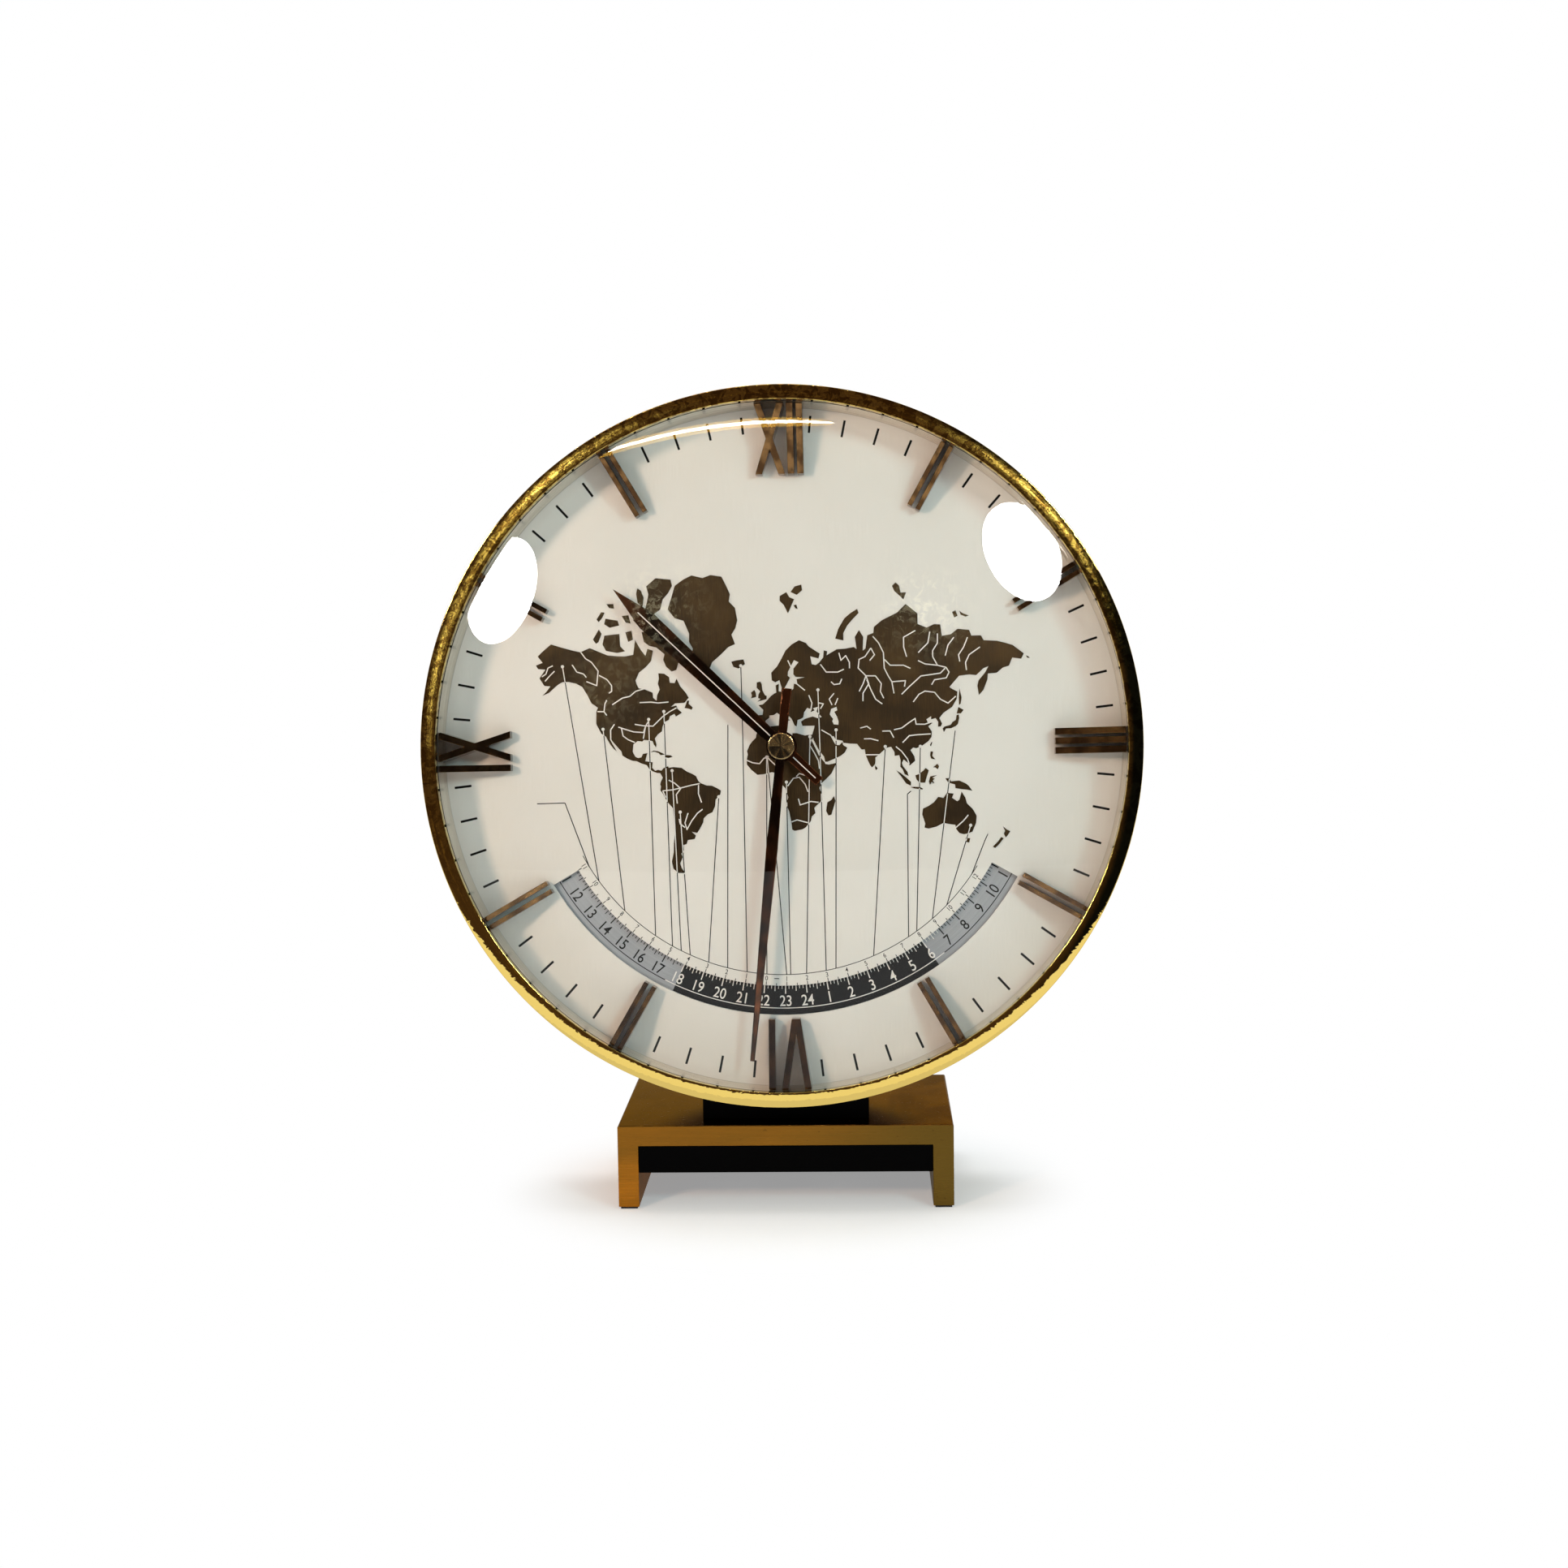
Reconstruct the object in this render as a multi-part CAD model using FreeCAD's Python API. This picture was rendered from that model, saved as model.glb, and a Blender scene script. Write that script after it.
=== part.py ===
import FreeCAD, Part

import math
import os

# World time clock: a leaning round case on a low bridge stand
# Millimetres, +Z up, the clock looks along -Y
# Origin: on the table, in the middle of the clock's width and depth
# Pieces of the case are drawn flat in the dial's own frame, then leaned and raised:
# there x is to the right, y up the dial, and z comes out of the dial, which lies at z = 0

# Stand
stand_width = 122.0
stand_depth = 80.0
stand_height = 30.8
stand_wall = 7.5
stand_edge = 0.4
core_height = 10.0
core_setback = 0.5
pad_thickness = 0.8
pad_inset = 0.7
neck_width = 61.0
neck_depth = 42.0
neck_setback = 11.0
neck_edge = 0.5

# Case
lean_angle = 5.4
face_setback = 6.0
case_gap = 8.0
bezel_wall = 1.4
bezel_thickness = 3.3
bezel_skirt = 14.0
bezel_edge = 0.4
shell_wall = 2.2
case_depth = 62.0
face_height = 22.0
lip_overhang = 0.3
lining_thickness = 1.1
ledge_width = 8.9
ledge_thickness = 2.0
crystal_thickness = 2.5
crystal_rise = 9.0
crystal_land = 1.6
gasket_thickness = 0.5
cover_thickness = 1.5
lug_depth = 9.0
lug_width = 12.0
lug_reach = 9.0
saddle_thickness = 2.0

# Fits
fit_gap = 0.3
seat_gap = 0.1
run_gap = 0.06
overrun = 1.0

# Dial
dial_thickness = 1.2
dial_turn = 0.5
window_margin = 2.95
window_width = 10.8
window_half_angle = 60.0
marker_margin = 1.0
marker_length = 24.8
marker_low = 5.25
marker_high = 13.0
marker_gap = 0.2
bar_width = 1.75
bar_gap = 1.6
stroke_width = 2.4
stroke_gap = 1.1
letter_half_width = 5.45
apex_half_width = 1.6
twelve_x_place = -2.2
twelve_i_place = 5.4
six_v_place = -3.3
six_i_place = 5.6
nine_x_place = 2.2
nine_i_place = -5.8
map_thickness = 0.2
degree_size = 0.5035
meridian_place = -6.1
equator_place = -12.4

# Hour ring and the gears that turn it
ring_drop = 1.2
ring_thickness = 1.2
ring_border = 3.0
ring_rim_depth = 3.0
ring_rim_width = 3.2
ring_module = 1.0
drive_teeth = 28
gear_width = 2.4
idler_hub_radius = 3.5
idler_hub_length = 3.4
stud_radius = 1.5
stud_collar_radius = 2.6
stud_end = 0.8
clip_thickness = 0.5
guide_hub_radius = 3.4
guide_flange = 1.4
guide_flange_thickness = 0.7
guide_gap = 0.25
guide_shank_radius = 1.8
guide_count = 4
plate_gap = 1.6
plate_thickness = 1.5
plate_margin = 1.0
pillar_radius = 2.5
pillar_margin = 1.0
pillar_count = 4

# Screws
screw_shank = 1.15
screw_head_radius = 2.6
screw_head_height = 1.5
screw_slot = 0.6
screw_reach = 5.0
cover_screw_count = 4
bolt_radius = 2.5
bolt_head_radius = 4.5
bolt_head_height = 3.2
bolt_place = 20.0
nut_radius = 4.6
nut_height = 4.0
nut_recess = 5.2

# Hands
pipe_radius = 2.8
pipe_bore = 1.68
arbor_radius = 1.6
pivot_radius = 0.6
hub_share = 1.5
hour_hand_height = 5.4
hour_hand_thickness = 1.2
hour_hand_gap = 15.2
hour_head_length = 17.0
hour_shoulder_width = 7.4
hour_neck_width = 4.7
hour_tail_length = 19.0
hour_tail_width = 3.7
hour_boss_radius = 5.6
hour_boss_height = 2.3
hour_angle = 313.6
hour_groove_width = 0.6
hour_groove_depth = 0.2
hour_groove_reach = 4.6
minute_hand_height = 8.4
minute_hand_thickness = 1.0
minute_hand_gap = 9.5
minute_belly_place = 38.0
minute_belly_width = 4.3
minute_neck_width = 3.1
minute_tip_width = 1.6
minute_tail_length = 21.3
minute_tail_width = 3.8
minute_boss_radius = 4.7
minute_boss_height = 2.0
minute_angle = 185.9
hand_bevel = 0.3
cap_radius = 4.9
cap_height = 2.3
cap_edge = 0.5

# Movement
movement_half_width = 31.0
movement_top = 29.0
movement_depth = 28.0
movement_wall = 1.5
movement_split = 11.0
movement_corner = 2.4
boss_radius = 2.6
boss_inset = 4.3
bushing_radius = 4.2
nut_across = 12.0
centre_nut_height = 1.2
motion_module = 0.6
cannon_teeth = 10
minute_wheel_teeth = 30
minute_pinion_teeth = 8
hour_wheel_teeth = 32
hour_wheel_width = 1.6
motion_gap = 0.2
wheel_width = 1.0
pinion_width = 1.8
centre_module = 0.4
third_module = 0.35
seconds_module = 0.3
rotor_module = 0.25
centre_teeth = 64
third_teeth = 60
seconds_teeth = 50
reduction_teeth = 60
low_leaves = 8
high_leaves = 10
third_angle = 90.0
seconds_angle = 200.0
reduction_angle = 230.0
rotor_angle = 270.0
clutch_hub_radius = 2.0
magnet_radius = 3.0
magnet_height = 2.8
magnet_gap = 0.4
bridge_thickness = 1.2
bridge_margin = 1.0
bridge_layers = 14.4
stator_thickness = 0.8
stator_arm = 4.0
stator_length = 25.0
stator_width = 21.5
coil_radius = 2.9
core_bar_width = 3.0
board_thickness = 1.0
board_width = 24.0
board_length = 42.0
board_post = 1.5
can_radius = 1.5
can_length = 8.0
cell_radius = 12.9
cell_length = 48.5
cell_nub_radius = 3.2
cell_nub_length = 1.5
contact_thickness = 0.4
contact_width = 12.0
bay_gap = 0.9
setter_knob_radius = 5.0
setter_knob_height = 6.0
setter_knob_gap = 2.0
setter_knob_flutes = 18
setter_flute_radius = 0.5
setter_stem_radius = 1.5
door_flange = 1.5
door_flange_thickness = 1.0
door_rib_thickness = 1.6
door_rib_place = 15.0

# Tooth outlines: height above the pitch line in modules, half width as a share of the pitch
wheel_tooth_shares = ((-1.3, 0.235), (0.0, 0.215), (0.55, 0.165), (0.95, 0.06))
leaf_tooth_shares = ((-1.35, 0.12), (0.0, 0.15), (0.4, 0.11), (0.65, 0.04))
ring_tooth_shares = ((-1.25, 0.26), (0.0, 0.215), (0.8, 0.12))

# Coastlines as longitude and latitude in degrees, chosen by hand
north_america_shares = (
    (-168, 65.7), (-163, 66.5), (-166.5, 68.3), (-163, 69.5), (-156.5, 71.3), (-149, 70.5), (-141, 69.7),
    (-135, 69.2), (-128, 70.2), (-124, 69.6), (-115, 68.2), (-108, 67.9), (-102, 67.8), (-96, 68.2),
    (-94.5, 71.9), (-90.5, 69.5), (-87, 67.8), (-85.5, 69.7), (-81.5, 69.2), (-83, 66.3), (-87, 64.5),
    (-92, 62.8), (-94.7, 60), (-94, 58.7), (-92.5, 57), (-88, 56.5), (-82.3, 55.1), (-82, 52.9),
    (-79.5, 51.5), (-79, 54), (-77, 56.3), (-78.3, 58.6), (-77.5, 60.5), (-77.8, 62.4), (-73.5, 62.2),
    (-70, 61), (-69.5, 58.9), (-66, 58.7), (-64.5, 60.3), (-62, 57.5), (-58, 54.8), (-55.8, 52.6),
    (-59, 50.3), (-66, 50.1), (-69, 48.5), (-65, 49.1), (-64.3, 47.5), (-61, 45.5), (-65.5, 43.5),
    (-66.5, 45), (-70, 43.7), (-70.7, 41.8), (-74, 40.6), (-75.5, 38), (-76, 35.3), (-79, 33.5),
    (-81.3, 31), (-80.2, 27), (-80.6, 25.2), (-82, 27), (-83, 29.3), (-85.5, 29.9), (-89.5, 30.2),
    (-90.5, 29.2), (-94, 29.6), (-97.2, 27.5), (-97.8, 22.5), (-96, 19.2), (-94, 18.2), (-91.5, 18.6),
    (-90.3, 21), (-87, 21.5), (-88, 18.5), (-88.7, 15.9), (-83.3, 15), (-83.7, 11), (-81.5, 8.9),
    (-79.5, 9.5), (-76.5, 8.8), (-77.2, 7), (-80, 7.2), (-83, 8.3), (-85.8, 10.2), (-87.6, 13),
    (-92, 14.5), (-95, 16), (-98, 16.3), (-102, 18), (-105.5, 20.2), (-106, 22.8), (-109.3, 26.3),
    (-112.8, 30), (-114.5, 31.6), (-112.7, 28), (-111, 25.5), (-109.6, 23.1), (-112, 25), (-114.4, 28),
    (-116, 30.5), (-117.2, 32.7), (-120.6, 34.6), (-122.5, 37.6), (-124.2, 40.3), (-124.1, 44),
    (-124, 46.8), (-122.8, 48.8), (-127.5, 51), (-130.3, 54.5), (-134, 58), (-138.5, 59.3), (-144, 60),
    (-148.5, 60), (-151.5, 59.2), (-154, 58.2), (-158.5, 56), (-163.5, 54.8), (-161, 56.1),
    (-157.5, 58.5), (-162, 58.7), (-165.5, 61.5), (-161, 64.4), (-166.3, 64.6),
)
south_america_shares = (
    (-77.5, 8.2), (-75.5, 10.5), (-72, 12), (-71.5, 10.8), (-68, 11.3), (-62, 10.6), (-58.5, 8),
    (-54, 5.9), (-51.5, 4.3), (-50, 0.8), (-48.3, -0.8), (-44, -2.6), (-40, -2.9), (-36, -4.9),
    (-33.5, -6.5), (-34, -9.3), (-37.5, -13), (-38, -17.7), (-40, -21.8), (-43.5, -23.2),
    (-46.5, -25.8), (-47, -28.5), (-49.5, -32.5), (-51.5, -34.9), (-55.5, -34.2), (-52.5, -36.5),
    (-53.5, -38.5), (-58.5, -39), (-59.5, -41.3), (-62, -41.8), (-61.5, -44.5), (-63.5, -46.3),
    (-62.5, -48), (-64.5, -51), (-63.5, -53), (-61, -55.3), (-66, -55.2), (-69.5, -53.3),
    (-70.5, -50), (-69, -45.5), (-68.8, -41), (-68, -36), (-68, -31), (-68.5, -25),
    (-69, -18.5), (-73, -14), (-76, -8.3), (-78, -5.5), (-77.5, -2.7), (-78, -1), (-77.5, 0.8),
    (-76, 3.8), (-77.8, 6.9),
)
africa_shares = (
    (-5.9, 35.8), (-2, 35.1), (3, 36.8), (10, 37.3), (11, 33.8), (15.2, 32.3), (19.5, 30.4), (20, 32.5),
    (23, 32.5), (29, 30.9), (32.3, 31.3), (32.6, 29.9), (33.8, 27.5), (35.7, 24), (37.3, 20.9),
    (38.6, 18), (41.2, 14.6), (43.2, 12.3), (43.4, 11.4), (46, 10.8), (51.3, 11.9), (50.9, 10.3),
    (47.8, 4.3), (43.8, 0.3), (40.3, -2.8), (38.8, -6.2), (40.5, -10.8), (40.7, -15), (36.2, -18.8),
    (34.8, -20.2), (35.5, -23.8), (32.8, -26), (32, -29), (28, -33), (25.7, -34), (20, -34.8),
    (18.3, -34), (18, -31), (17.3, -27), (16.4, -22.5), (14.3, -17.3), (15.8, -12.3), (14, -6),
    (10.5, -2), (10.6, 2.5), (9.2, 4.5), (4.4, 6.2), (-1.5, 4.8), (-6.5, 4.4), (-11, 8.3), (-14, 12),
    (-14.2, 14.7), (-13.2, 19.2), (-13.7, 21.5), (-11.6, 25.8), (-9.6, 28), (-7, 30.2), (-6.6, 32.4),
    (-5, 34.2),
)
eurasia_shares = (
    (-5.6, 36.1), (-9, 37), (-9.5, 38.7), (-8.8, 43.2), (-1.8, 43.4), (-1.2, 46), (-4.7, 48.4),
    (-1.6, 48.7), (0, 49.6), (2.5, 51.1), (4.5, 52.5), (7, 53.6), (8.6, 54), (8.2, 57), (10.6, 57.6),
    (10.3, 54.6), (14, 54), (19, 54.4), (21.2, 55.5), (21.6, 57.5), (24.2, 57.2), (23.6, 59.2),
    (29.8, 59.9), (23, 60.1), (21.4, 61), (21.5, 63), (25.3, 65), (22, 65.7), (17.5, 62), (17.2, 60.6),
    (18.8, 59.8), (16.5, 57.5), (14.3, 55.5), (12.8, 55.6), (11, 59), (8, 58.2), (5.5, 59), (5.2, 61.8),
    (9.5, 63.8), (13, 66.3), (16, 68.5), (20.5, 70), (26, 71), (31, 70.3), (33, 69.4), (41, 67.4),
    (40, 66), (34, 66.7), (35, 64.3), (38, 64), (40.5, 64.8), (43.5, 66.3), (44, 68.3), (46.5, 68),
    (46, 66.9), (53.5, 68.5), (59.5, 68.6), (66, 69), (68, 68.4), (67, 71.5), (70, 73), (73, 71.5),
    (72.5, 68), (74.5, 68.5), (76, 71.8), (80.5, 72.3), (81, 73.6), (87, 74.9), (98, 76.2), (104.5, 77.6),
    (113, 76), (113, 74), (119.5, 73.2), (125, 73.9), (129.5, 73.8), (130.5, 71.3), (137, 71.6),
    (142, 72.8), (150.5, 72.5), (152, 71.2), (159, 71.2), (161, 70),
    (170.5, 69.8), (177, 69.2), (182, 68.6), (190, 66.2), (188, 64.6), (181.5, 65), (179, 62.4),
    (174.5, 61.8), (170, 60), (163.5, 59.8), (163.2, 57.8), (162, 56), (160, 53.2), (156.7, 51),
    (155.7, 55), (156.7, 57.3), (161.5, 60.2), (164, 62.4), (160.3, 61.7), (155, 59.3), (150, 59.6),
    (142.5, 59.2), (135.3, 54.8), (137.5, 53.9), (141, 52.8), (140.5, 49.5), (137, 45.5), (132, 43.2),
    (130.5, 42.4), (127.5, 39.6), (129.4, 36.5), (128.5, 34.8), (126.4, 34.6), (126.6, 37.5),
    (124.8, 39.7), (121.5, 39), (121.5, 40.8), (118, 39.1), (119, 37.2), (122.5, 37), (119.3, 35),
    (121.8, 31.8), (121.5, 28.3), (119, 25.5), (114, 22.4), (110.2, 21), (108, 21.6), (106, 19.8),
    (108.8, 15.3), (109.2, 12.2), (107, 10.4), (105, 8.8), (104.9, 10.3), (102.5, 12), (100.9, 13.4),
    (99.5, 11), (99.9, 9.2), (101.5, 6.9), (103.4, 4.3), (104.2, 1.4), (101.4, 2.7), (100.1, 6.1),
    (98.3, 8.2), (98.6, 13), (97.6, 16.5), (94.3, 16), (94.2, 18.8), (91.8, 22.4), (88.5, 21.7),
    (86.5, 20.2), (82.3, 16.7), (80.2, 15.2), (80.2, 13), (79.8, 10.3), (77.6, 8.1), (76.2, 10),
    (74.8, 13), (73, 17.5), (72.6, 21), (70.3, 20.9), (69, 22.3), (67, 24.8), (61.6, 25.1), (57, 25.7),
    (56.4, 27.1), (51.5, 27.9), (50, 30.1), (48, 29.9), (50, 26.5), (51.3, 24.5), (54, 24.2),
    (56.3, 26.2), (56.8, 24.2), (59.8, 22.4), (57.8, 19), (55, 17), (52, 15.6), (45, 12.8), (43.3, 13),
    (42.7, 16.5), (39, 21), (35.2, 28), (34.9, 29.5), (34, 28), (32.5, 30), (32.2, 31.2), (34.3, 31.3),
    (35.9, 35.5), (36.1, 36.8), (30.6, 36.8), (27.3, 36.8), (26.3, 39.3), (29.3, 40.8), (31.5, 41.3),
    (35, 42), (38.5, 41), (41.6, 41.6), (37.8, 44.6), (39, 47), (35.2, 46.3), (36.5, 45.2), (33.6, 44.4),
    (33.3, 46), (31, 46.6), (28.7, 44.3), (28, 41.6), (26.2, 40.8), (23.8, 40.2), (23.4, 38.2),
    (23, 36.6), (21.5, 37.2), (19.4, 41), (15.5, 43.9), (13.6, 45.4), (12.4, 44.6), (14, 42.6),
    (16.2, 41.6), (18.4, 40.1), (16.8, 40), (16, 38), (15.4, 40), (12.4, 41.7), (10.4, 43.5), (8.8, 44.4),
    (6.5, 43.2), (3.2, 43), (3.1, 41.8), (0.4, 40.3), (0, 38.7), (-1, 37.5), (-2.2, 36.7),
)
caspian_sea_shares = (
    (47.5, 43), (48.6, 45.8), (52.5, 46.8), (53, 45), (50.8, 44.3), (52.8, 41.5), (53.8, 39), (53.6, 37),
    (50.3, 37.3), (49.2, 39), (49.8, 40.5), (48.3, 41.9),
)
islands_shares = (
    ((-67, 79.4), (-64.5, 80.8), (-58, 81.5), (-52, 81.9), (-44, 81.6), (-38, 81.9), (-30, 81.7),
     (-26.5, 80.6), (-24, 79.6), (-25, 78.6), (-20.5, 77.6), (-19, 75.5), (-20.5, 74), (-23.5, 72.6),
     (-21, 70.4), (-26, 69.7), (-32, 67.6), (-38, 65.6), (-43, 60.3), (-48, 61), (-51.5, 64), (-53.5, 67),
     (-52, 69.5), (-54.8, 71.2), (-54.5, 73), (-58.5, 75.6), (-65, 76.1), (-70, 77.6)),
    ((-89.5, 73.6), (-81, 73.7), (-77, 72.6), (-71, 70.8), (-67.5, 69), (-62, 66.8), (-64.5, 63.4),
     (-68, 62.9), (-72, 64.5), (-74, 66.6), (-73, 68.2), (-79, 70), (-84, 70.4), (-88, 71.4)),
    ((-117, 73), (-106, 73.3), (-105.5, 70.5), (-102, 69.2), (-108, 68.8), (-116, 69.4), (-118.5, 71)),
    ((-125.5, 72.2), (-121, 74.3), (-119, 73.4), (-121.5, 71.6), (-123.3, 71.2)),
    ((-82, 76.6), (-75.5, 77.6), (-73.5, 79.1), (-69.5, 79.9), (-66.5, 80.8), (-67.5, 81.5), (-78.5, 81.7),
     (-85.5, 80.8), (-84, 79.8), (-85, 78.9), (-87, 77.4)),
    ((-96, 76), (-81, 75.7), (-80, 74.7), (-91.5, 74.7)),
    ((-104, 76.7), (-99, 76.8), (-97.5, 75.3), (-101, 75.5)),
    ((-101.5, 73.6), (-97, 73.9), (-96, 72), (-99.5, 71.5)),
    ((-115, 78.6), (-110, 78.6), (-109.5, 77.9), (-113, 78)),
    ((-122.5, 76.2), (-119, 77.4), (-116.5, 77.3), (-118.5, 76.4), (-121, 75.7)),
    ((-116, 76.3), (-107, 75.9), (-106, 75), (-113, 74.6), (-117, 75.3)),
    ((-92, 80.6), (-89.5, 80.3), (-87.5, 79.4), (-88.5, 78), (-92, 78.7), (-93, 79.9)),
    ((-59, 47.8), (-57, 51.2), (-55.6, 51.3), (-56, 49.8), (-53, 48), (-53.8, 46.8), (-56, 47.4)),
    ((-84.8, 21.9), (-82.5, 23.1), (-79, 22.6), (-75, 20.8), (-74.3, 20.2), (-77.5, 19.9), (-78.5, 21.2),
     (-82, 22.4)),
    ((-74.3, 18.4), (-73, 19.9), (-69.8, 19.6), (-68.4, 18.6), (-71.5, 17.8)),
    ((-5.5, 50.1), (1.3, 51.2), (1.5, 52.7), (0.2, 53), (-1.5, 55), (-2, 57.6), (-3, 58.6), (-5.6, 58.3),
     (-5.7, 56.2), (-3.2, 54.7), (-4.5, 53.3), (-4.8, 51.8), (-3, 51.3)),
    ((-10, 51.7), (-6.3, 52.3), (-6.4, 54), (-7.5, 55.3), (-10, 54.2), (-9.3, 53)),
    ((-22.5, 64), (-18.8, 63.4), (-14, 64.8), (-15, 66.2), (-20, 66), (-24, 65.6)),
    ((12.5, 79.2), (17.4, 79.7), (19.5, 79), (23, 78.7), (18.3, 76.5), (15.3, 77.9), (12.4, 78.5)),
    ((20.5, 79.7), (23.5, 80.4), (28.5, 80.6), (29, 79.9), (25, 79.3)),
    ((22.5, 77.8), (24.5, 77.9), (25.5, 77.2), (24, 77.3)),
    ((52.5, 71.2), (55, 73.4), (59.5, 75.4), (64, 76.3), (69, 77), (70, 76.3), (65.5, 75.2), (61.5, 74),
     (58.5, 72.4), (58.5, 70.7)),
    ((94.8, 80.2), (97.5, 80.6), (100, 80.2), (101, 79.3), (105, 79.3), (103, 78.3), (100.6, 78.8),
     (96.5, 79.5)),
    ((138.3, 76.1), (140.8, 76.4), (142.3, 75.4), (139.8, 75.1)),
    ((143.7, 76.3), (145.5, 75.9), (150.5, 75.4), (148, 75.2), (144.5, 75.6)),
    ((191.5, 65.6), (193.5, 65.2), (194.2, 64.7), (192.3, 64.9)),
    ((49.3, -12.1), (50.4, -15.6), (47.2, -25), (45, -25.5), (43.4, -22.5), (44.4, -16.5), (47.5, -14.8)),
    ((79.9, 9.6), (81.8, 7.3), (80.5, 6), (79.8, 7.5)),
    ((95.4, 5.6), (98.5, 3.6), (103.6, -0.8), (105.9, -3), (105.7, -5.8), (102.2, -4), (98.8, 1.2)),
    ((105.3, -6.7), (108.5, -6.6), (112.7, -7), (114.5, -8), (114.3, -8.7), (108, -7.8)),
    ((109.1, 1.8), (111.5, 2.5), (115, 5), (116.8, 6.9), (119, 5.2), (117.6, 1), (116.2, -3.8),
     (111.8, -3.5), (109.9, -1.2)),
    ((119.6, -5.5), (119, -3), (120, 0.7), (125, 1.6), (121.4, -0.4), (123.3, -1), (121.7, -2.2),
     (123, -4.5), (121, -3.4)),
    ((131, -0.8), (134, -0.9), (135, -3.2), (141, -2.7), (146, -5), (147.8, -6.5), (150.6, -10.4),
     (147, -9.5), (143, -9.1), (138.2, -8.2), (138, -5.5), (133, -4)),
    ((120.2, 16), (120.6, 18.6), (122.4, 18.5), (121.8, 15.5), (124, 13), (121, 13.6)),
    ((122.2, 7.2), (125.3, 9.8), (126.6, 8), (125.5, 5.8), (123.8, 7.4)),
    ((120.2, 23), (121.5, 25.2), (122, 24.8), (120.9, 22)),
    ((130.6, 31.2), (129.8, 33.4), (131, 34.6), (135.7, 35.6), (137, 37.2), (139.5, 38.4), (140.1, 41.1),
     (141.6, 41.4), (142, 39.5), (140.9, 36), (139.4, 34.8), (135.8, 33.5), (132.2, 33.4)),
    ((140.2, 42), (141.5, 45.4), (145.3, 43.8), (143.2, 42)),
    ((142, 46.4), (142, 50), (142.6, 54.2), (144, 50), (143.2, 47)),
    ((114.2, -22.2), (113.6, -26), (115.7, -31.8), (115.1, -34.3), (118, -35), (123.8, -33.9),
     (129, -31.7), (134, -32.6), (137.6, -33), (138.1, -35.5), (140.5, -38), (143.8, -38.7), (147, -38.2),
     (150, -37.3), (152.8, -32), (153.3, -27.5), (150.5, -23), (146.3, -19), (145.3, -15), (142.6, -10.8),
     (141, -16.5), (139.3, -17.5), (135.6, -15), (136.8, -12.1), (132, -11.4), (129.4, -15),
     (125.5, -14.2), (122.2, -18), (118.5, -20.3)),
    ((144.8, -40.8), (148.2, -41), (147.5, -43.4), (145.5, -43)),
    ((172.2, -34.4), (175, -36.4), (177.6, -37.4), (176, -39.4), (174.2, -41), (172.8, -38.8),
     (173.8, -37.2)),
    ((170.9, -40.6), (172.6, -41.4), (169, -44.7), (166.3, -46.4), (164.6, -45.7), (168.8, -42.8)),
)

# Places that follow from the sizes above
vector = FreeCAD.Vector
lean = math.radians(lean_angle)
ring_teeth = 6 * drive_teeth
ring_pitch = ring_module * ring_teeth / 2
ring_root = ring_pitch - ring_module * ring_tooth_shares[0][0]
window_inner = ring_root + window_margin
window_outer = window_inner + window_width
marker_inner = window_outer + marker_margin
marker_outer = marker_inner + marker_length
lining_radius = marker_outer + marker_gap
opening_radius = lining_radius - lip_overhang
dial_radius = lining_radius + lining_thickness
shell_bore = dial_radius + fit_gap
shell_radius = shell_bore + shell_wall
bezel_radius = shell_radius + bezel_wall
hour_hand_length = marker_inner - hour_hand_gap
minute_hand_length = lining_radius - minute_hand_gap
reach_forward = (bezel_radius - bezel_edge) * math.sin(lean) - face_setback
stand_middle = reach_forward / 2
stand_front = stand_middle - stand_depth / 2
case_centre_y = stand_front + face_setback
case_centre_z = stand_height + case_gap + bezel_radius * math.cos(lean)
dial_centre = vector(
    0,
    case_centre_y + face_height * math.cos(lean),
    case_centre_z - face_height * math.sin(lean),
)
dial_frame = FreeCAD.Placement(dial_centre, FreeCAD.Rotation(vector(1, 0, 0), 90 - lean_angle))

core_bottom = stand_height - stand_wall - core_height
lip_back = face_height - bezel_thickness
crystal_back = lip_back - crystal_thickness
lining_top = crystal_back - gasket_thickness
case_back = face_height - case_depth
cover_front = case_back + cover_thickness
dial_back = -dial_thickness
ledge_bore = shell_bore - ledge_width

ring_front = dial_back - ring_drop
ring_back = ring_front - ring_thickness
rim_back = ring_back - ring_rim_depth
ring_radius = window_outer + ring_border
idler_teeth = (ring_teeth - drive_teeth) // 4
drive_pitch = ring_module * drive_teeth / 2
idler_pitch = ring_module * idler_teeth / 2
inner_idler_place = drive_pitch + idler_pitch
outer_idler_place = inner_idler_place + idler_pitch * 2
gear_front = ring_back - fit_gap
gear_back = gear_front - gear_width
plate_front = rim_back - plate_gap
plate_back = plate_front - plate_thickness
plate_radius = ledge_bore - plate_margin
pillar_place = plate_radius - pillar_margin - pillar_radius
guide_place = ring_radius + seat_gap + guide_hub_radius

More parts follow.
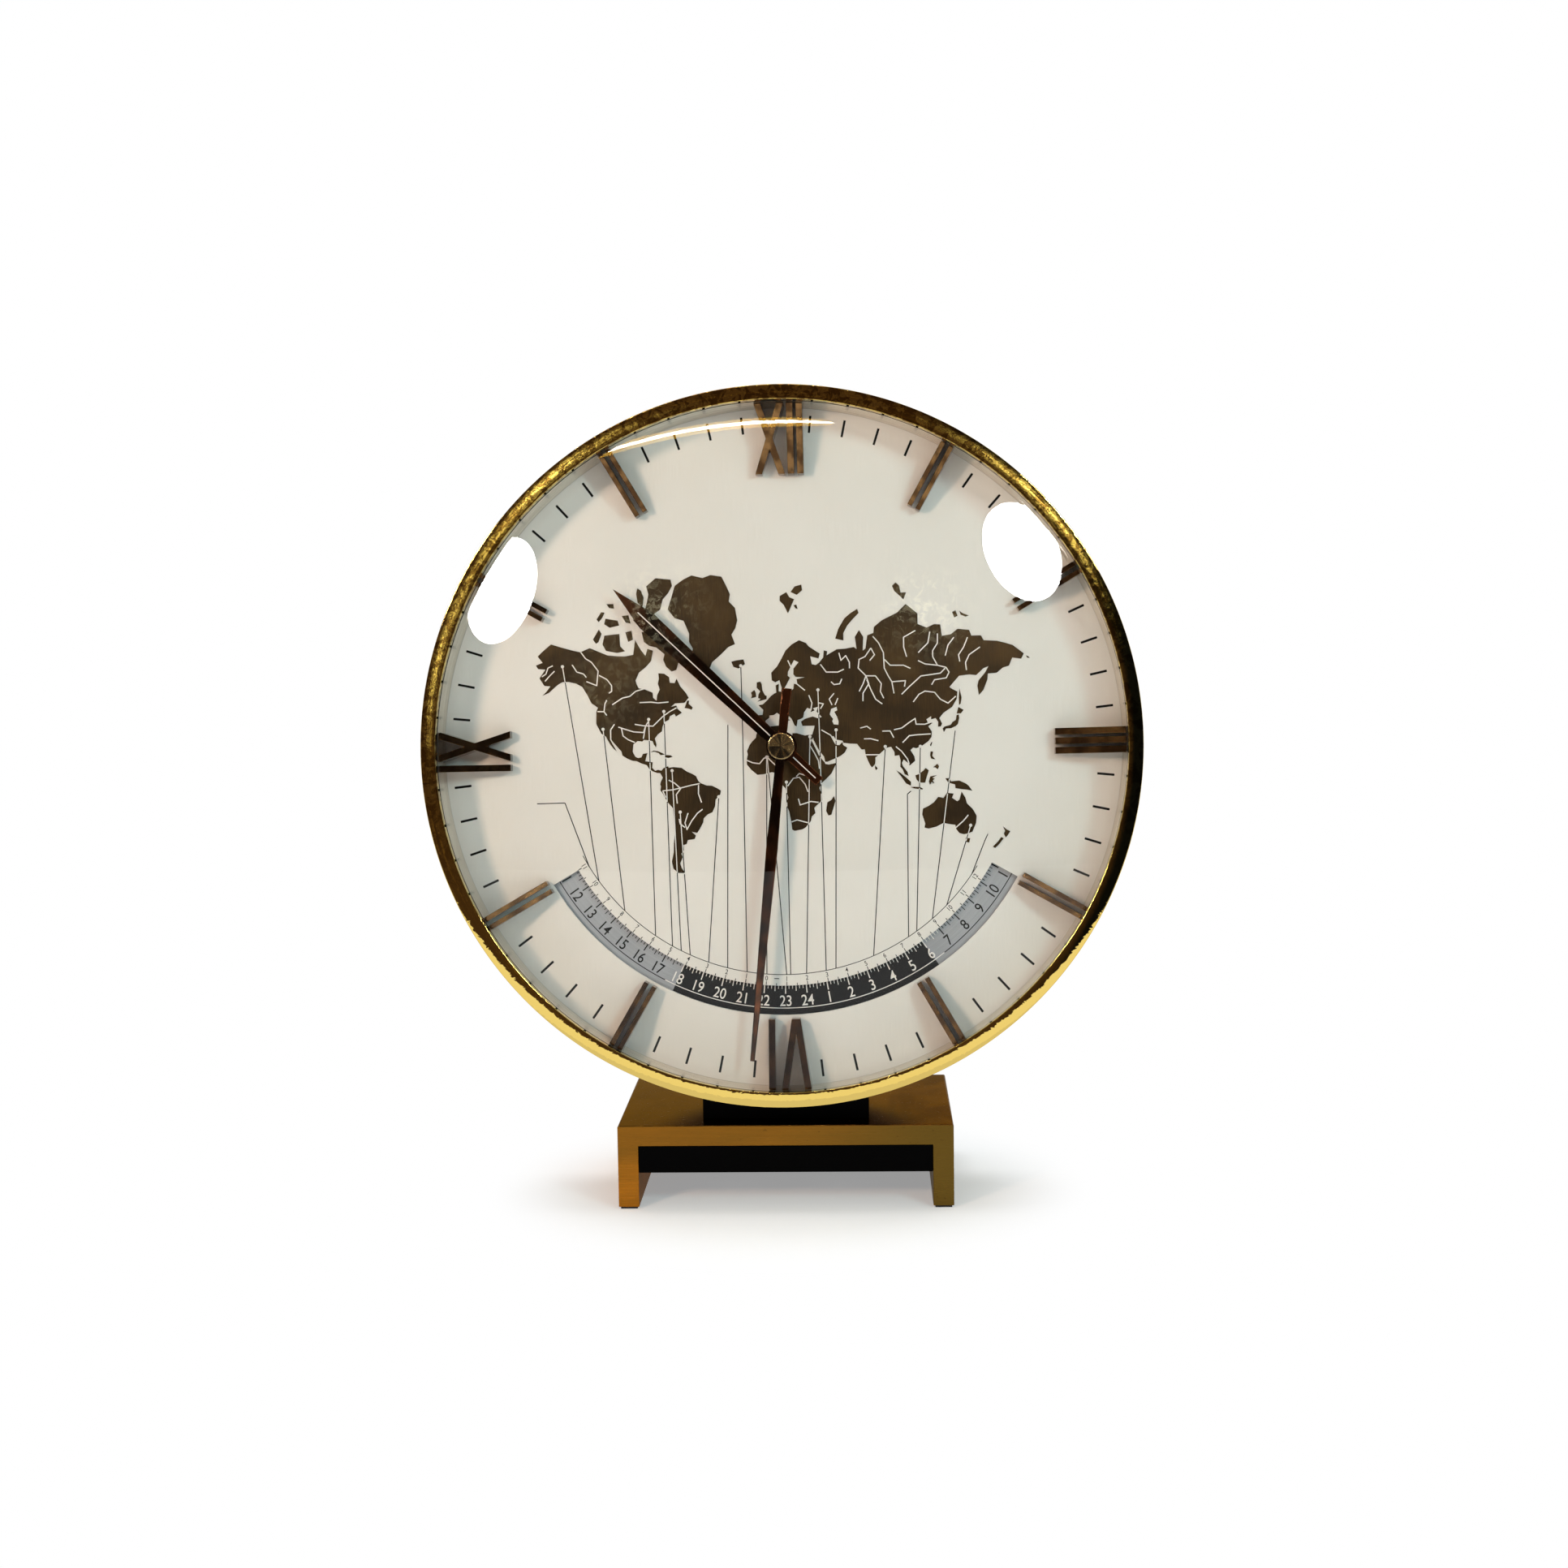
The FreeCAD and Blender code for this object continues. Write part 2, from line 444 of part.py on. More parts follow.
movement_back = plate_back - movement_depth
shell_front_inside = plate_back - movement_wall
shell_back_inside = movement_back + movement_wall
split_place = plate_back - movement_split
motion_centre = motion_module * (cannon_teeth + minute_wheel_teeth) / 2
hour_wheel_front = shell_front_inside - motion_gap
hour_wheel_back = hour_wheel_front - hour_wheel_width
minute_wheel_front = hour_wheel_back - wheel_width - motion_gap
minute_wheel_back = minute_wheel_front - hour_wheel_width
centre_wheel_front = minute_wheel_back - wheel_width
centre_wheel_back = centre_wheel_front - wheel_width
third_wheel_front = centre_wheel_back - wheel_width - motion_gap * 2
seconds_wheel_front = third_wheel_front - wheel_width * 2
reduction_wheel_front = seconds_wheel_front - wheel_width * 2 - motion_gap
bridge_front = shell_front_inside - bridge_layers
bridge_back = bridge_front - bridge_thickness
setter_y = -motion_centre * 2
bay_top = setter_y - setter_knob_radius - bay_gap * 2 - movement_wall
bay_centre = bay_top - cell_radius - bay_gap
bay_bottom = bay_centre - cell_radius - bay_gap
bay_half_length = movement_half_width - movement_wall
movement_bottom = bay_bottom - movement_wall
cell_axis = shell_front_inside - cell_radius - motion_gap
door_half_length = (cell_length + cell_nub_length) / 2 + contact_thickness


def polar(radius, degrees, x=0, y=0):
    angle = math.radians(degrees)
    return x + radius * math.cos(angle), y + radius * math.sin(angle)


third_x, third_y = polar(centre_module * (centre_teeth + low_leaves) / 2, third_angle)
seconds_x, seconds_y = polar(third_module * (third_teeth + low_leaves) / 2, seconds_angle, third_x, third_y)
reduction_x, reduction_y = polar(
    seconds_module * (seconds_teeth + high_leaves) / 2, reduction_angle, seconds_x, seconds_y)
rotor_x, rotor_y = polar(
    rotor_module * (reduction_teeth + high_leaves) / 2, rotor_angle, reduction_x, reduction_y)


# Building blocks

def disc(radius, low, high, x=0, y=0):
    return Part.makeCylinder(radius, high - low, vector(x, y, low))


def tube(radius, bore, low, high, x=0, y=0):
    hole = disc(bore, low - overrun, high + overrun, x, y)
    return disc(radius, low, high, x, y).cut(hole)


def block(x_low, x_high, y_low, y_high, z_low, z_high):
    return Part.makeBox(x_high - x_low, y_high - y_low, z_high - z_low, vector(x_low, y_low, z_low))


def slab(points, low, high):
    corners = [vector(x, y, low) for x, y in points]
    face = Part.Face(Part.makePolygon(corners + corners[:1]))
    return face.extrude(vector(0, 0, high - low))


def turned(points, x=0, y=0):
    corners = [vector(x + radius, y, z) for radius, z in points]
    face = Part.Face(Part.makePolygon(corners + corners[:1]))
    return face.revolve(vector(x, y, 0), vector(0, 0, 1), 360)


def joined(shapes):
    return shapes[0].fuse(shapes[1:]).removeSplitter()


def spun(shape, degrees):
    copy = shape.copy()
    copy.rotate(vector(0, 0, 0), vector(0, 0, 1), degrees)
    return copy


def leaned(shape):
    return shape.transformed(dial_frame.toMatrix(), True)


def dialled(shape):
    return leaned(spun(shape, dial_turn))


def save(name, shape):
    solids = shape.Solids
    whole = solids[0] if len(solids) == 1 else Part.makeCompound(solids)
    whole.exportStep("parts/" + name + ".step")
    print(name, len(solids), round(whole.Volume, 1), whole.isValid())


def tooth_points(teeth, module, shares, phase, inward=False):
    pitch_angle = 360 / teeth
    direction = -1 if inward else 1
    points = []
    for index in range(teeth):
        middle = phase + index * pitch_angle
        rise = [(module * (teeth / 2 + direction * height), -width) for height, width in shares]
        fall = [(radius, -width) for radius, width in reversed(rise)]
        for radius, width in rise + fall:
            points.append(polar(radius, middle + width * pitch_angle))
    return points


def gear(teeth, module, shares, phase, low, high, x=0, y=0):
    wheel = slab(tooth_points(teeth, module, shares, phase), low, high)
    wheel.translate(vector(x, y, 0))
    return wheel


def meshed_phase(teeth, other_teeth, other_phase, direction):
    other_share = (direction - other_phase) * other_teeth / 360
    return direction + 180 - (0.5 - other_share) * 360 / teeth


def slotted_screw(head_radius, head_height, shank_radius, length):
    head = disc(head_radius, 0, head_height)
    slot = block(-head_radius, head_radius, -screw_slot / 2, screw_slot / 2,
                 head_height - screw_slot, head_height + overrun)
    return joined([head.cut(slot), disc(shank_radius, -length, 0)])


# Stand

def stand_bridge():
    half = stand_width / 2
    inner = half - stand_wall
    ceiling = stand_height - stand_wall
    points = (
        (-half, pad_thickness), (-half, stand_height - stand_edge), (-half + stand_edge, stand_height),
        (half - stand_edge, stand_height), (half, stand_height - stand_edge), (half, pad_thickness),
        (inner, pad_thickness), (inner, ceiling), (-inner, ceiling), (-inner, pad_thickness),
    )
    bridge = slab(points, 0, stand_depth)
    bridge.rotate(vector(0, 0, 0), vector(1, 0, 0), 90)
    bridge.translate(vector(0, stand_front + stand_depth, 0))
    return bridge.cut(bolt_passage())


def stand_core():
    inner = stand_width / 2 - stand_wall
    core = block(-inner, inner, stand_front + core_setback, stand_front + stand_depth - core_setback,
                 core_bottom, core_bottom + core_height)
    return core.cut(bolt_passage()).cut(nut_recesses())


def foot_pads():
    outer = stand_width / 2 - pad_inset
    inner = stand_width / 2 - stand_wall + pad_inset
    back = stand_front + stand_depth - pad_inset
    return Part.makeCompound([
        block(low, high, stand_front + pad_inset, back, 0, pad_thickness)
        for low, high in ((-outer, -inner), (inner, outer))
    ])


def neck_block():
    front = stand_front + neck_setback
    half = neck_width / 2
    neck = block(-half, half, front, front + neck_depth, stand_height, case_centre_z)
    neck = neck.makeChamfer(neck_edge, [
        edge for edge in neck.Edges
        if edge.BoundBox.ZLength > neck_edge and abs(edge.BoundBox.XLength) < neck_edge
    ])
    seat = leaned(disc(shell_radius + seat_gap, case_back - case_depth, face_height + case_depth))
    return neck.cut(seat).Solids[0].cut(bolt_passage())


def bolt_spots():
    middle = stand_front + neck_setback + neck_depth / 2
    depth = (dial_centre.y - middle - shell_radius * math.sin(lean)) / math.cos(lean)
    return [(-bolt_place, depth), (bolt_place, depth)]


def crosswise(shape, x, z, y):
    piece = shape.copy()
    piece.rotate(vector(0, 0, 0), vector(1, 0, 0), -90)
    piece.translate(vector(x, y, z))
    return leaned(piece)


bolt_seat = -math.sqrt((shell_bore - saddle_thickness) ** 2 - (bolt_place + bolt_head_radius) ** 2)
nut_seat = (core_bottom + nut_recess - dial_centre.z) / math.cos(lean)


def bolt_passage():
    length = bolt_seat - nut_seat + nut_recess * 2
    rod = disc(bolt_radius + fit_gap, -length, overrun)
    return Part.makeCompound([crosswise(rod, x, z, bolt_seat) for x, z in bolt_spots()])


def nut_recesses():
    pit = disc(nut_radius + fit_gap, -nut_recess * 2, 0)
    return Part.makeCompound([crosswise(pit, x, z, nut_seat) for x, z in bolt_spots()])


def case_bolts():
    length = bolt_seat - nut_seat + nut_height
    bolt = slotted_screw(bolt_head_radius, bolt_head_height, bolt_radius, length)
    return Part.makeCompound([crosswise(bolt, x, z, bolt_seat) for x, z in bolt_spots()])


def case_nuts():
    corners = [polar(nut_radius, 60 * turn) for turn in range(6)]
    nut = slab(corners, -nut_height, 0).cut(disc(bolt_radius, -nut_height - overrun, overrun))
    return Part.makeCompound([crosswise(nut, x, z, nut_seat) for x, z in bolt_spots()])


def saddle_plate():
    half = bolt_place + bolt_head_radius * 2
    depth = bolt_spots()[0][1]
    plate = block(-half, half, -shell_bore, bolt_seat, depth - bolt_head_radius * 2, depth + bolt_head_radius * 2)
    plate = plate.common(disc(shell_bore, case_back, face_height))
    return leaned(plate).cut(bolt_passage())


# Case

def case_shell():
    ledge_back = dial_back - ledge_thickness
    shell = turned((
        (shell_bore, case_back), (shell_radius, case_back), (shell_radius, lip_back),
        (shell_bore, lip_back), (shell_bore, dial_back), (ledge_bore, dial_back),
        (ledge_bore, ledge_back), (shell_bore, ledge_back),
    ))
    lugs = []
    for angle in cover_screw_angles():
        lug = block(shell_bore - lug_reach, shell_bore + shell_wall / 2, -lug_width / 2, lug_width / 2,
                    cover_front, cover_front + lug_depth)
        lugs.append(spun(lug.common(disc(shell_bore + shell_wall / 2, case_back, face_height)), angle))
    shell = joined([shell] + lugs)
    holes = [
        disc(screw_shank, cover_front - overrun, cover_front + lug_depth - overrun, *cover_screw_spot(angle))
        for angle in cover_screw_angles()
    ]
    return leaned(shell.cut(holes)).cut(bolt_passage())


def cover_screw_angles():
    return [45 + index * 360 / cover_screw_count for index in range(cover_screw_count)]


def cover_screw_spot(angle):
    return polar(shell_bore - lug_reach / 2, angle)


def bezel_ring():
    skirt_bore = shell_radius + seat_gap
    return leaned(turned((
        (opening_radius, lip_back), (opening_radius, face_height - bezel_edge),
        (opening_radius + bezel_edge, face_height), (bezel_radius - bezel_edge, face_height),
        (bezel_radius, face_height - bezel_edge), (bezel_radius, face_height - bezel_skirt),
        (skirt_bore, face_height - bezel_skirt), (skirt_bore, lip_back),
    )))


def dome_edge(radius, height):
    sphere = (radius ** 2 + crystal_rise ** 2) / (2 * crystal_rise)
    half = math.asin(radius / sphere) / 2
    middle = vector(sphere * math.sin(half), 0, height + crystal_rise - sphere + sphere * math.cos(half))
    return Part.Arc(vector(radius, 0, height), middle, vector(0, 0, height + crystal_rise)).toShape()


def crystal():
    edge = shell_bore - fit_gap
    land = opening_radius - seat_gap
    inner = land - crystal_land
    outer_arc = dome_edge(land, lip_back)
    inner_arc = dome_edge(inner, crystal_back)
    lines = [
        Part.makeLine(vector(inner, 0, crystal_back), vector(edge, 0, crystal_back)),
        Part.makeLine(vector(edge, 0, crystal_back), vector(edge, 0, lip_back)),
        Part.makeLine(vector(edge, 0, lip_back), vector(land, 0, lip_back)),
        Part.makeLine(vector(0, 0, lip_back + crystal_rise), vector(0, 0, crystal_back + crystal_rise)),
    ]
    outline = Part.Wire(Part.__sortEdges__(lines + [outer_arc, inner_arc]))
    return leaned(Part.Face(outline).revolve(vector(0, 0, 0), vector(0, 0, 1), 360))


def crystal_gasket():
    return leaned(tube(shell_bore - fit_gap, lining_radius, lining_top, crystal_back))


def wall_ring():
    return leaned(tube(shell_bore - fit_gap, lining_radius, 0, lining_top))


def back_cover():
    cover = disc(shell_bore - fit_gap, case_back, cover_front)
    holes = [disc(setter_stem_radius + fit_gap, case_back - overrun, cover_front + overrun, 0, setter_y)]
    holes.append(block(-bay_half_length, bay_half_length, bay_bottom, bay_top,
                       case_back - overrun, cover_front + overrun))
    for angle in cover_screw_angles():
        spot = cover_screw_spot(angle)
        holes.append(disc(screw_shank + fit_gap, case_back - overrun, cover_front + overrun, *spot))
    return leaned(cover.cut(holes))


def back_cover_screws():
    screw = slotted_screw(screw_head_radius, screw_head_height, screw_shank, screw_reach + cover_thickness)
    screw.rotate(vector(0, 0, 0), vector(1, 0, 0), 180)
    screws = []
    for angle in cover_screw_angles():
        copy = screw.copy()
        x, y = cover_screw_spot(angle)
        copy.translate(vector(x, y, case_back))
        screws.append(copy)
    return leaned(Part.makeCompound(screws))


def battery_door():
    plug_half = bay_half_length - fit_gap
    flange_half = bay_half_length + door_flange
    flange = block(-flange_half, flange_half, bay_bottom - door_flange, bay_top + bay_gap,
                   case_back - door_flange_thickness, case_back)
    plug = block(-plug_half, plug_half, bay_bottom + fit_gap, bay_top - fit_gap, case_back, cover_front)
    rib_depth = cell_radius * 2 / 3
    ribs = [
        block(x - door_rib_thickness / 2, x + door_rib_thickness / 2, bay_centre - rib_depth / 2,
              bay_centre + rib_depth / 2, cover_front - overrun, cell_axis - cell_radius - fit_gap)
        for x in (-door_rib_place, door_rib_place)
    ]
    return leaned(joined([flange, plug] + ribs))


# Dial

def dial_plate():
    dial = disc(dial_radius, dial_back, 0)
    hole = disc(pipe_radius + fit_gap * 2, dial_back - overrun, overrun)
    window = Part.makeCylinder(window_outer, dial_thickness + overrun * 2, vector(0, 0, dial_back - overrun),
                               vector(0, 0, 1), window_half_angle * 2)
    window = window.cut(disc(window_inner, dial_back - overrun * 2, overrun * 2))
    return dialled(dial.cut(hole).cut(spun(window, -90 - window_half_angle)))


def map_point(longitude, latitude):
    radian_size = degree_size * 180 / math.pi
    stretch = math.log(math.tan(math.pi / 4 + math.radians(latitude) / 2))
    return meridian_place + degree_size * longitude, equator_place + radian_size * stretch


def land(coast):
    return slab([map_point(*point) for point in coast], 0, map_thickness)


def world_map():
    coasts = (north_america_shares, south_america_shares, africa_shares, eurasia_shares)
    mainland = joined([land(coast) for coast in coasts])
    sea = [map_point(*point) for point in caspian_sea_shares]
    mainland = mainland.cut(slab(sea, -map_thickness, map_thickness * 2))
    mainland = mainland.cut(disc(pipe_radius + fit_gap * 2, -overrun, overrun))
    return dialled(Part.makeCompound(mainland.Solids + [land(coast) for coast in islands_shares]))


def marker_wedge():
    points = ((marker_inner, 0), (marker_inner, marker_low), (marker_outer, marker_high), (marker_outer, 0))
    half = letter_half_width * 2
    wedge = slab(points, -half, half)
    wedge.rotate(vector(0, 0, 0), vector(1, 0, 0), 90)
    rotated = spun(wedge, 90)
    return rotated.common(disc(marker_outer, -overrun, face_height))


def upright_bar(place, width):
    return slab((
        (place - width / 2, marker_inner - overrun), (place + width / 2, marker_inner - overrun),
        (place + width / 2, lining_radius), (place - width / 2, lining_radius),
    ), 0, face_height)


def slanted_bar(inner_place, outer_place):
    span = (lining_radius - marker_inner) / math.hypot(lining_radius - marker_inner, outer_place - inner_place)
    half = stroke_width / span / 2
    run = (outer_place - inner_place) / (lining_radius - marker_inner) * overrun
    low, high = marker_inner - overrun, lining_radius + overrun
    return slab((
        (inner_place - run - half, low), (inner_place - run + half, low),
        (outer_place + run + half, high), (outer_place + run - half, high),
    ), 0, face_height)


def letter_i(place):
    return [upright_bar(place, stroke_width)]


def letter_v(place):
    reach = letter_half_width - stroke_width / 2
    start = apex_half_width - stroke_width / 2
    return [joined([
        slanted_bar(place - start, place - reach),
        slanted_bar(place + start, place + reach),
    ])]


def letter_x(place):
    reach = letter_half_width - stroke_width / 2
    return [joined([
        slanted_bar(place - reach, place + reach),
        slanted_bar(place + reach, place - reach),
    ])]


def raised(strokes, hour):
    pieces = [stroke.common(marker_wedge()) for stroke in strokes]
    return dialled(spun(Part.makeCompound(pieces), -30 * hour))


def numeral_twelve():
    step = stroke_width + stroke_gap
    return raised(letter_x(twelve_x_place) + letter_i(twelve_i_place) + letter_i(twelve_i_place + step), 0)


def numeral_three():
    step = stroke_width + stroke_gap
    return raised(letter_i(-step) + letter_i(0) + letter_i(step), 3)


def numeral_six():
    return raised(letter_v(six_v_place) + letter_i(six_i_place), 6)


def numeral_nine():
    return raised(letter_i(nine_i_place) + letter_x(nine_x_place), 9)


def hour_bars():
    place = (bar_width + bar_gap) / 2
    bars = []
    for hour in range(12):
        if hour % 3:
            pair = [upright_bar(-place, bar_width), upright_bar(place, bar_width)]
            bars.append(raised(pair, hour))
    return Part.makeCompound(bars)


# Hour ring and its gears

drive_phase = 0.0
inner_idler_phase = meshed_phase(idler_teeth, drive_teeth, drive_phase, 90)
outer_idler_phase = meshed_phase(idler_teeth, idler_teeth, inner_idler_phase, 90)
outer_idler_share = (90 - outer_idler_phase) * idler_teeth / 360
ring_phase = 90 - (0.5 + outer_idler_share) * 360 / ring_teeth


def hour_ring():
    plate = tube(ring_radius, ring_root, ring_back, ring_front)
    rim = disc(ring_root + ring_rim_width, rim_back, ring_back)
    opening = slab(tooth_points(ring_teeth, ring_module, ring_tooth_shares, ring_phase, True),
                   rim_back - overrun, ring_back + overrun)
    toothed = rim.cut(opening)
    return leaned(joined([plate, toothed]))


def idler_wheel(place, phase):
    wheel = gear(idler_teeth, ring_module, wheel_tooth_shares, phase, gear_back, gear_front)
    hub = disc(idler_hub_radius, gear_front - idler_hub_length, gear_front)
    bore = disc(stud_radius + run_gap, gear_front - idler_hub_length - overrun, gear_front + overrun)
    wheel = joined([wheel, hub]).cut(bore)
    wheel.translate(vector(0, place, 0))
    return leaned(wheel)


def idler_inner():
    return idler_wheel(inner_idler_place, inner_idler_phase)


def idler_outer():
    return idler_wheel(outer_idler_place, outer_idler_phase)


def idler_studs():
    clip_back = gear_front + motion_gap
    collar_front = gear_front - idler_hub_length - motion_gap
    studs = []
    for place in (inner_idler_place, outer_idler_place):
        shank = disc(stud_radius, plate_back, clip_back + clip_thickness + stud_end, 0, place)
        collar = disc(stud_collar_radius, plate_front, collar_front, 0, place)
        studs.append(joined([shank, collar]))
    return leaned(Part.makeCompound(studs))


def idler_clips():
    clip_back = gear_front + motion_gap
    return leaned(Part.makeCompound([
        tube(stud_collar_radius, stud_radius, clip_back, clip_back + clip_thickness, 0, place)
        for place in (inner_idler_place, outer_idler_place)
    ]))


def guide_spots():
    return [polar(guide_place, 45 + index * 360 / guide_count) for index in range(guide_count)]


def ring_guides():
    flange_radius = guide_hub_radius + guide_flange
    back_front = ring_back - guide_gap
    front_back = ring_front + guide_gap
    profile = (
        (0, plate_back), (guide_shank_radius, plate_back), (guide_shank_radius, plate_front),
        (guide_hub_radius, plate_front), (guide_hub_radius, back_front - guide_flange_thickness),
        (flange_radius, back_front - guide_flange_thickness), (flange_radius, back_front),
        (guide_hub_radius, back_front), (guide_hub_radius, front_back), (flange_radius, front_back),
        (flange_radius, front_back + guide_flange_thickness), (0, front_back + guide_flange_thickness),
    )
    return leaned(Part.makeCompound([turned(profile, x, y) for x, y in guide_spots()]))


def pillar_spots():
    return [polar(pillar_place, index * 360 / pillar_count) for index in range(pillar_count)]


def dial_pillars():
    return leaned(Part.makeCompound([
        disc(pillar_radius, plate_front, dial_back, x, y).cut(
            disc(screw_shank, plate_front - overrun, dial_back - overrun, x, y))
        for x, y in pillar_spots()
    ]))


def plate_screws():
    reach = plate_thickness + (dial_back - plate_front) * 2 / 3
    screw = slotted_screw(screw_head_radius, screw_head_height, screw_shank, reach)
    screw.rotate(vector(0, 0, 0), vector(1, 0, 0), 180)
    screws = []
    for x, y in pillar_spots():
        copy = screw.copy()
        copy.translate(vector(x, y, plate_back))
        screws.append(copy)
    return leaned(Part.makeCompound(screws))


def mounting_plate():
    low, high = plate_back - overrun, plate_front + overrun
    holes = [disc(bushing_radius + seat_gap, low, high)]
    holes += [disc(stud_radius, low, high, 0, place) for place in (inner_idler_place, outer_idler_place)]
    holes += [disc(guide_shank_radius, low, high, x, y) for x, y in guide_spots()]
    holes += [disc(screw_shank + seat_gap, low, high, x, y) for x, y in pillar_spots()]
    return leaned(disc(plate_radius, plate_back, plate_front).cut(holes))


# Hands

def bevelled(points, low, high):
    blade = slab(points, low, high)
    rims = [
        edge for edge in blade.Edges
        if edge.BoundBox.ZMin > high - hand_bevel / 2 and edge.Length > hand_bevel * 2
    ]
    return blade.makeChamfer(hand_bevel, rims)


def hour_hand():
    shoulder = hour_hand_length - hour_head_length
    low = hour_hand_height
    high = low + hour_hand_thickness
    points = (
        (-hour_tail_width / 2, -hour_tail_length), (hour_tail_width / 2, -hour_tail_length),
        (hour_neck_width / 2, 0), (hour_shoulder_width / 2, shoulder), (0, hour_hand_length),
        (-hour_shoulder_width / 2, shoulder), (-hour_neck_width / 2, 0),
    )
    blade = bevelled(points, low, high)
    boss_top = high + hand_bevel
    boss = disc(hour_boss_radius, boss_top - hour_boss_height, boss_top)
    half = hour_groove_width / 2
    floor = high - hour_groove_depth
    grooves = [
        block(-half, half, hour_boss_radius, shoulder + hour_groove_reach, floor, high + overrun),
        block(-half, half, -hour_tail_length + hour_tail_width / 2, -hour_boss_radius, floor, high + overrun),
    ]
    bore = disc(pipe_radius, low - hour_boss_height - overrun, boss_top + overrun)
    return leaned(spun(joined([blade.cut(grooves), boss]).cut(bore), -hour_angle))


def minute_hand():
    low = minute_hand_height
    high = low + minute_hand_thickness
    points = (
        (-minute_tail_width / 2, -minute_tail_length), (minute_tail_width / 2, -minute_tail_length),
        (minute_neck_width / 2, 0), (minute_belly_width / 2, minute_belly_place),
        (minute_tip_width / 2, minute_hand_length), (-minute_tip_width / 2, minute_hand_length),
        (-minute_belly_width / 2, minute_belly_place), (-minute_neck_width / 2, 0),
    )
    blade = bevelled(points, low, high)
    boss_low = high + (minute_boss_height - minute_hand_thickness) / 2 - minute_boss_height
    boss = disc(minute_boss_radius, boss_low, boss_low + minute_boss_height)
    bore = disc(arbor_radius, boss_low - overrun, boss_low + minute_boss_height + overrun)
    return leaned(spun(joined([blade, boss]).cut(bore), -minute_angle))


minute_boss_top = (minute_hand_height + minute_hand_thickness
                   + (minute_boss_height - minute_hand_thickness) / 2)


def hub_cap():
    top = minute_boss_top + cap_height
    cap = turned((
        (0, minute_boss_top), (cap_radius, minute_boss_top), (cap_radius, top - cap_edge),
        (cap_radius - cap_edge, top), (0, top),
    ))
    return leaned(cap.cut(disc(arbor_radius, minute_boss_top - overrun, minute_boss_top + cap_height / 2)))


# Motion work

cannon_phase = 0.0
minute_wheel_phase = meshed_phase(minute_wheel_teeth, cannon_teeth, cannon_phase, -90)
minute_pinion_phase = 0.0
hour_wheel_phase = meshed_phase(hour_wheel_teeth, minute_pinion_teeth, minute_pinion_phase, 90)
setter_phase = meshed_phase(cannon_teeth, minute_wheel_teeth, minute_wheel_phase, -90)


def hour_wheel():
    wheel = gear(hour_wheel_teeth, motion_module, wheel_tooth_shares, hour_wheel_phase,
                 hour_wheel_back, hour_wheel_front)
    pipe = disc(pipe_radius, hour_wheel_back, hour_hand_height + hour_hand_thickness)
    bore = disc(pipe_bore, hour_wheel_back - overrun, face_height)
    return leaned(joined([wheel, pipe]).cut(bore))


def ring_drive_gear():
    wheel = gear(drive_teeth, ring_module, wheel_tooth_shares, drive_phase, gear_back, gear_front)
    bore = disc(pipe_radius, gear_back - overrun, gear_front + overrun)
    return leaned(wheel.cut(bore))


def minute_arbor():
    leaves = gear(cannon_teeth, motion_module, leaf_tooth_shares, cannon_phase,
                  minute_wheel_back - motion_gap / 2, minute_wheel_front + motion_gap / 2)
    shaft = disc(arbor_radius, minute_wheel_back, minute_boss_top + cap_height / 2)
    hub = disc(clutch_hub_radius, centre_wheel_back - motion_gap, minute_wheel_back)
    pivot = disc(pivot_radius * 2, bridge_back, centre_wheel_back)
    return leaned(joined([leaves, shaft, hub, pivot]))


def minute_wheel():
    wheel = gear(minute_wheel_teeth, motion_module, wheel_tooth_shares, minute_wheel_phase,
                 minute_wheel_back, minute_wheel_front)
    leaves = gear(minute_pinion_teeth, motion_module, leaf_tooth_shares, minute_pinion_phase,
                  minute_wheel_front, hour_wheel_front)
    bore = disc(motion_module + run_gap, minute_wheel_back - overrun, hour_wheel_front + overrun)
    wheel = joined([wheel, leaves]).cut(bore)
    wheel.translate(vector(0, -motion_centre, 0))
    return leaned(wheel)


def setting_stem():
    leaves = gear(cannon_teeth, motion_module, leaf_tooth_shares, setter_phase,
                  minute_wheel_back - motion_gap / 2, minute_wheel_front + motion_gap / 2, 0, setter_y)
    stem = disc(setter_stem_radius, case_back - setter_knob_gap - setter_knob_height / 2,
                minute_wheel_front, 0, setter_y)
    pivot = disc(pivot_radius, minute_wheel_front, plate_back - motion_gap, 0, setter_y)
    return leaned(joined([leaves, stem, pivot]))


def setting_knob():
    top = case_back - setter_knob_gap
    low = top - setter_knob_height
    knob = disc(setter_knob_radius, low, top, 0, setter_y)
    flutes = []
    for index in range(setter_knob_flutes):
        x, y = polar(setter_knob_radius, index * 360 / setter_knob_flutes, 0, setter_y)
        flutes.append(disc(setter_flute_radius, low - overrun, top + overrun, x, y))
    bore = disc(setter_stem_radius, top - setter_knob_height / 2, top + overrun, 0, setter_y)
    return leaned(knob.cut(flutes).cut(bore))


# Motor train

third_leaf_phase = meshed_phase(low_leaves, centre_teeth, 0, third_angle)
seconds_leaf_phase = meshed_phase(low_leaves, third_teeth, 0, seconds_angle)
reduction_leaf_phase = meshed_phase(high_leaves, seconds_teeth, 0, reduction_angle)
rotor_leaf_phase = meshed_phase(high_leaves, reduction_teeth, 0, rotor_angle)


def centre_wheel():
    wheel = gear(centre_teeth, centre_module, wheel_tooth_shares, 0, centre_wheel_back, centre_wheel_front)
    return leaned(wheel.cut(disc(clutch_hub_radius + run_gap, centre_wheel_back - overrun,
                                 centre_wheel_front + overrun)))


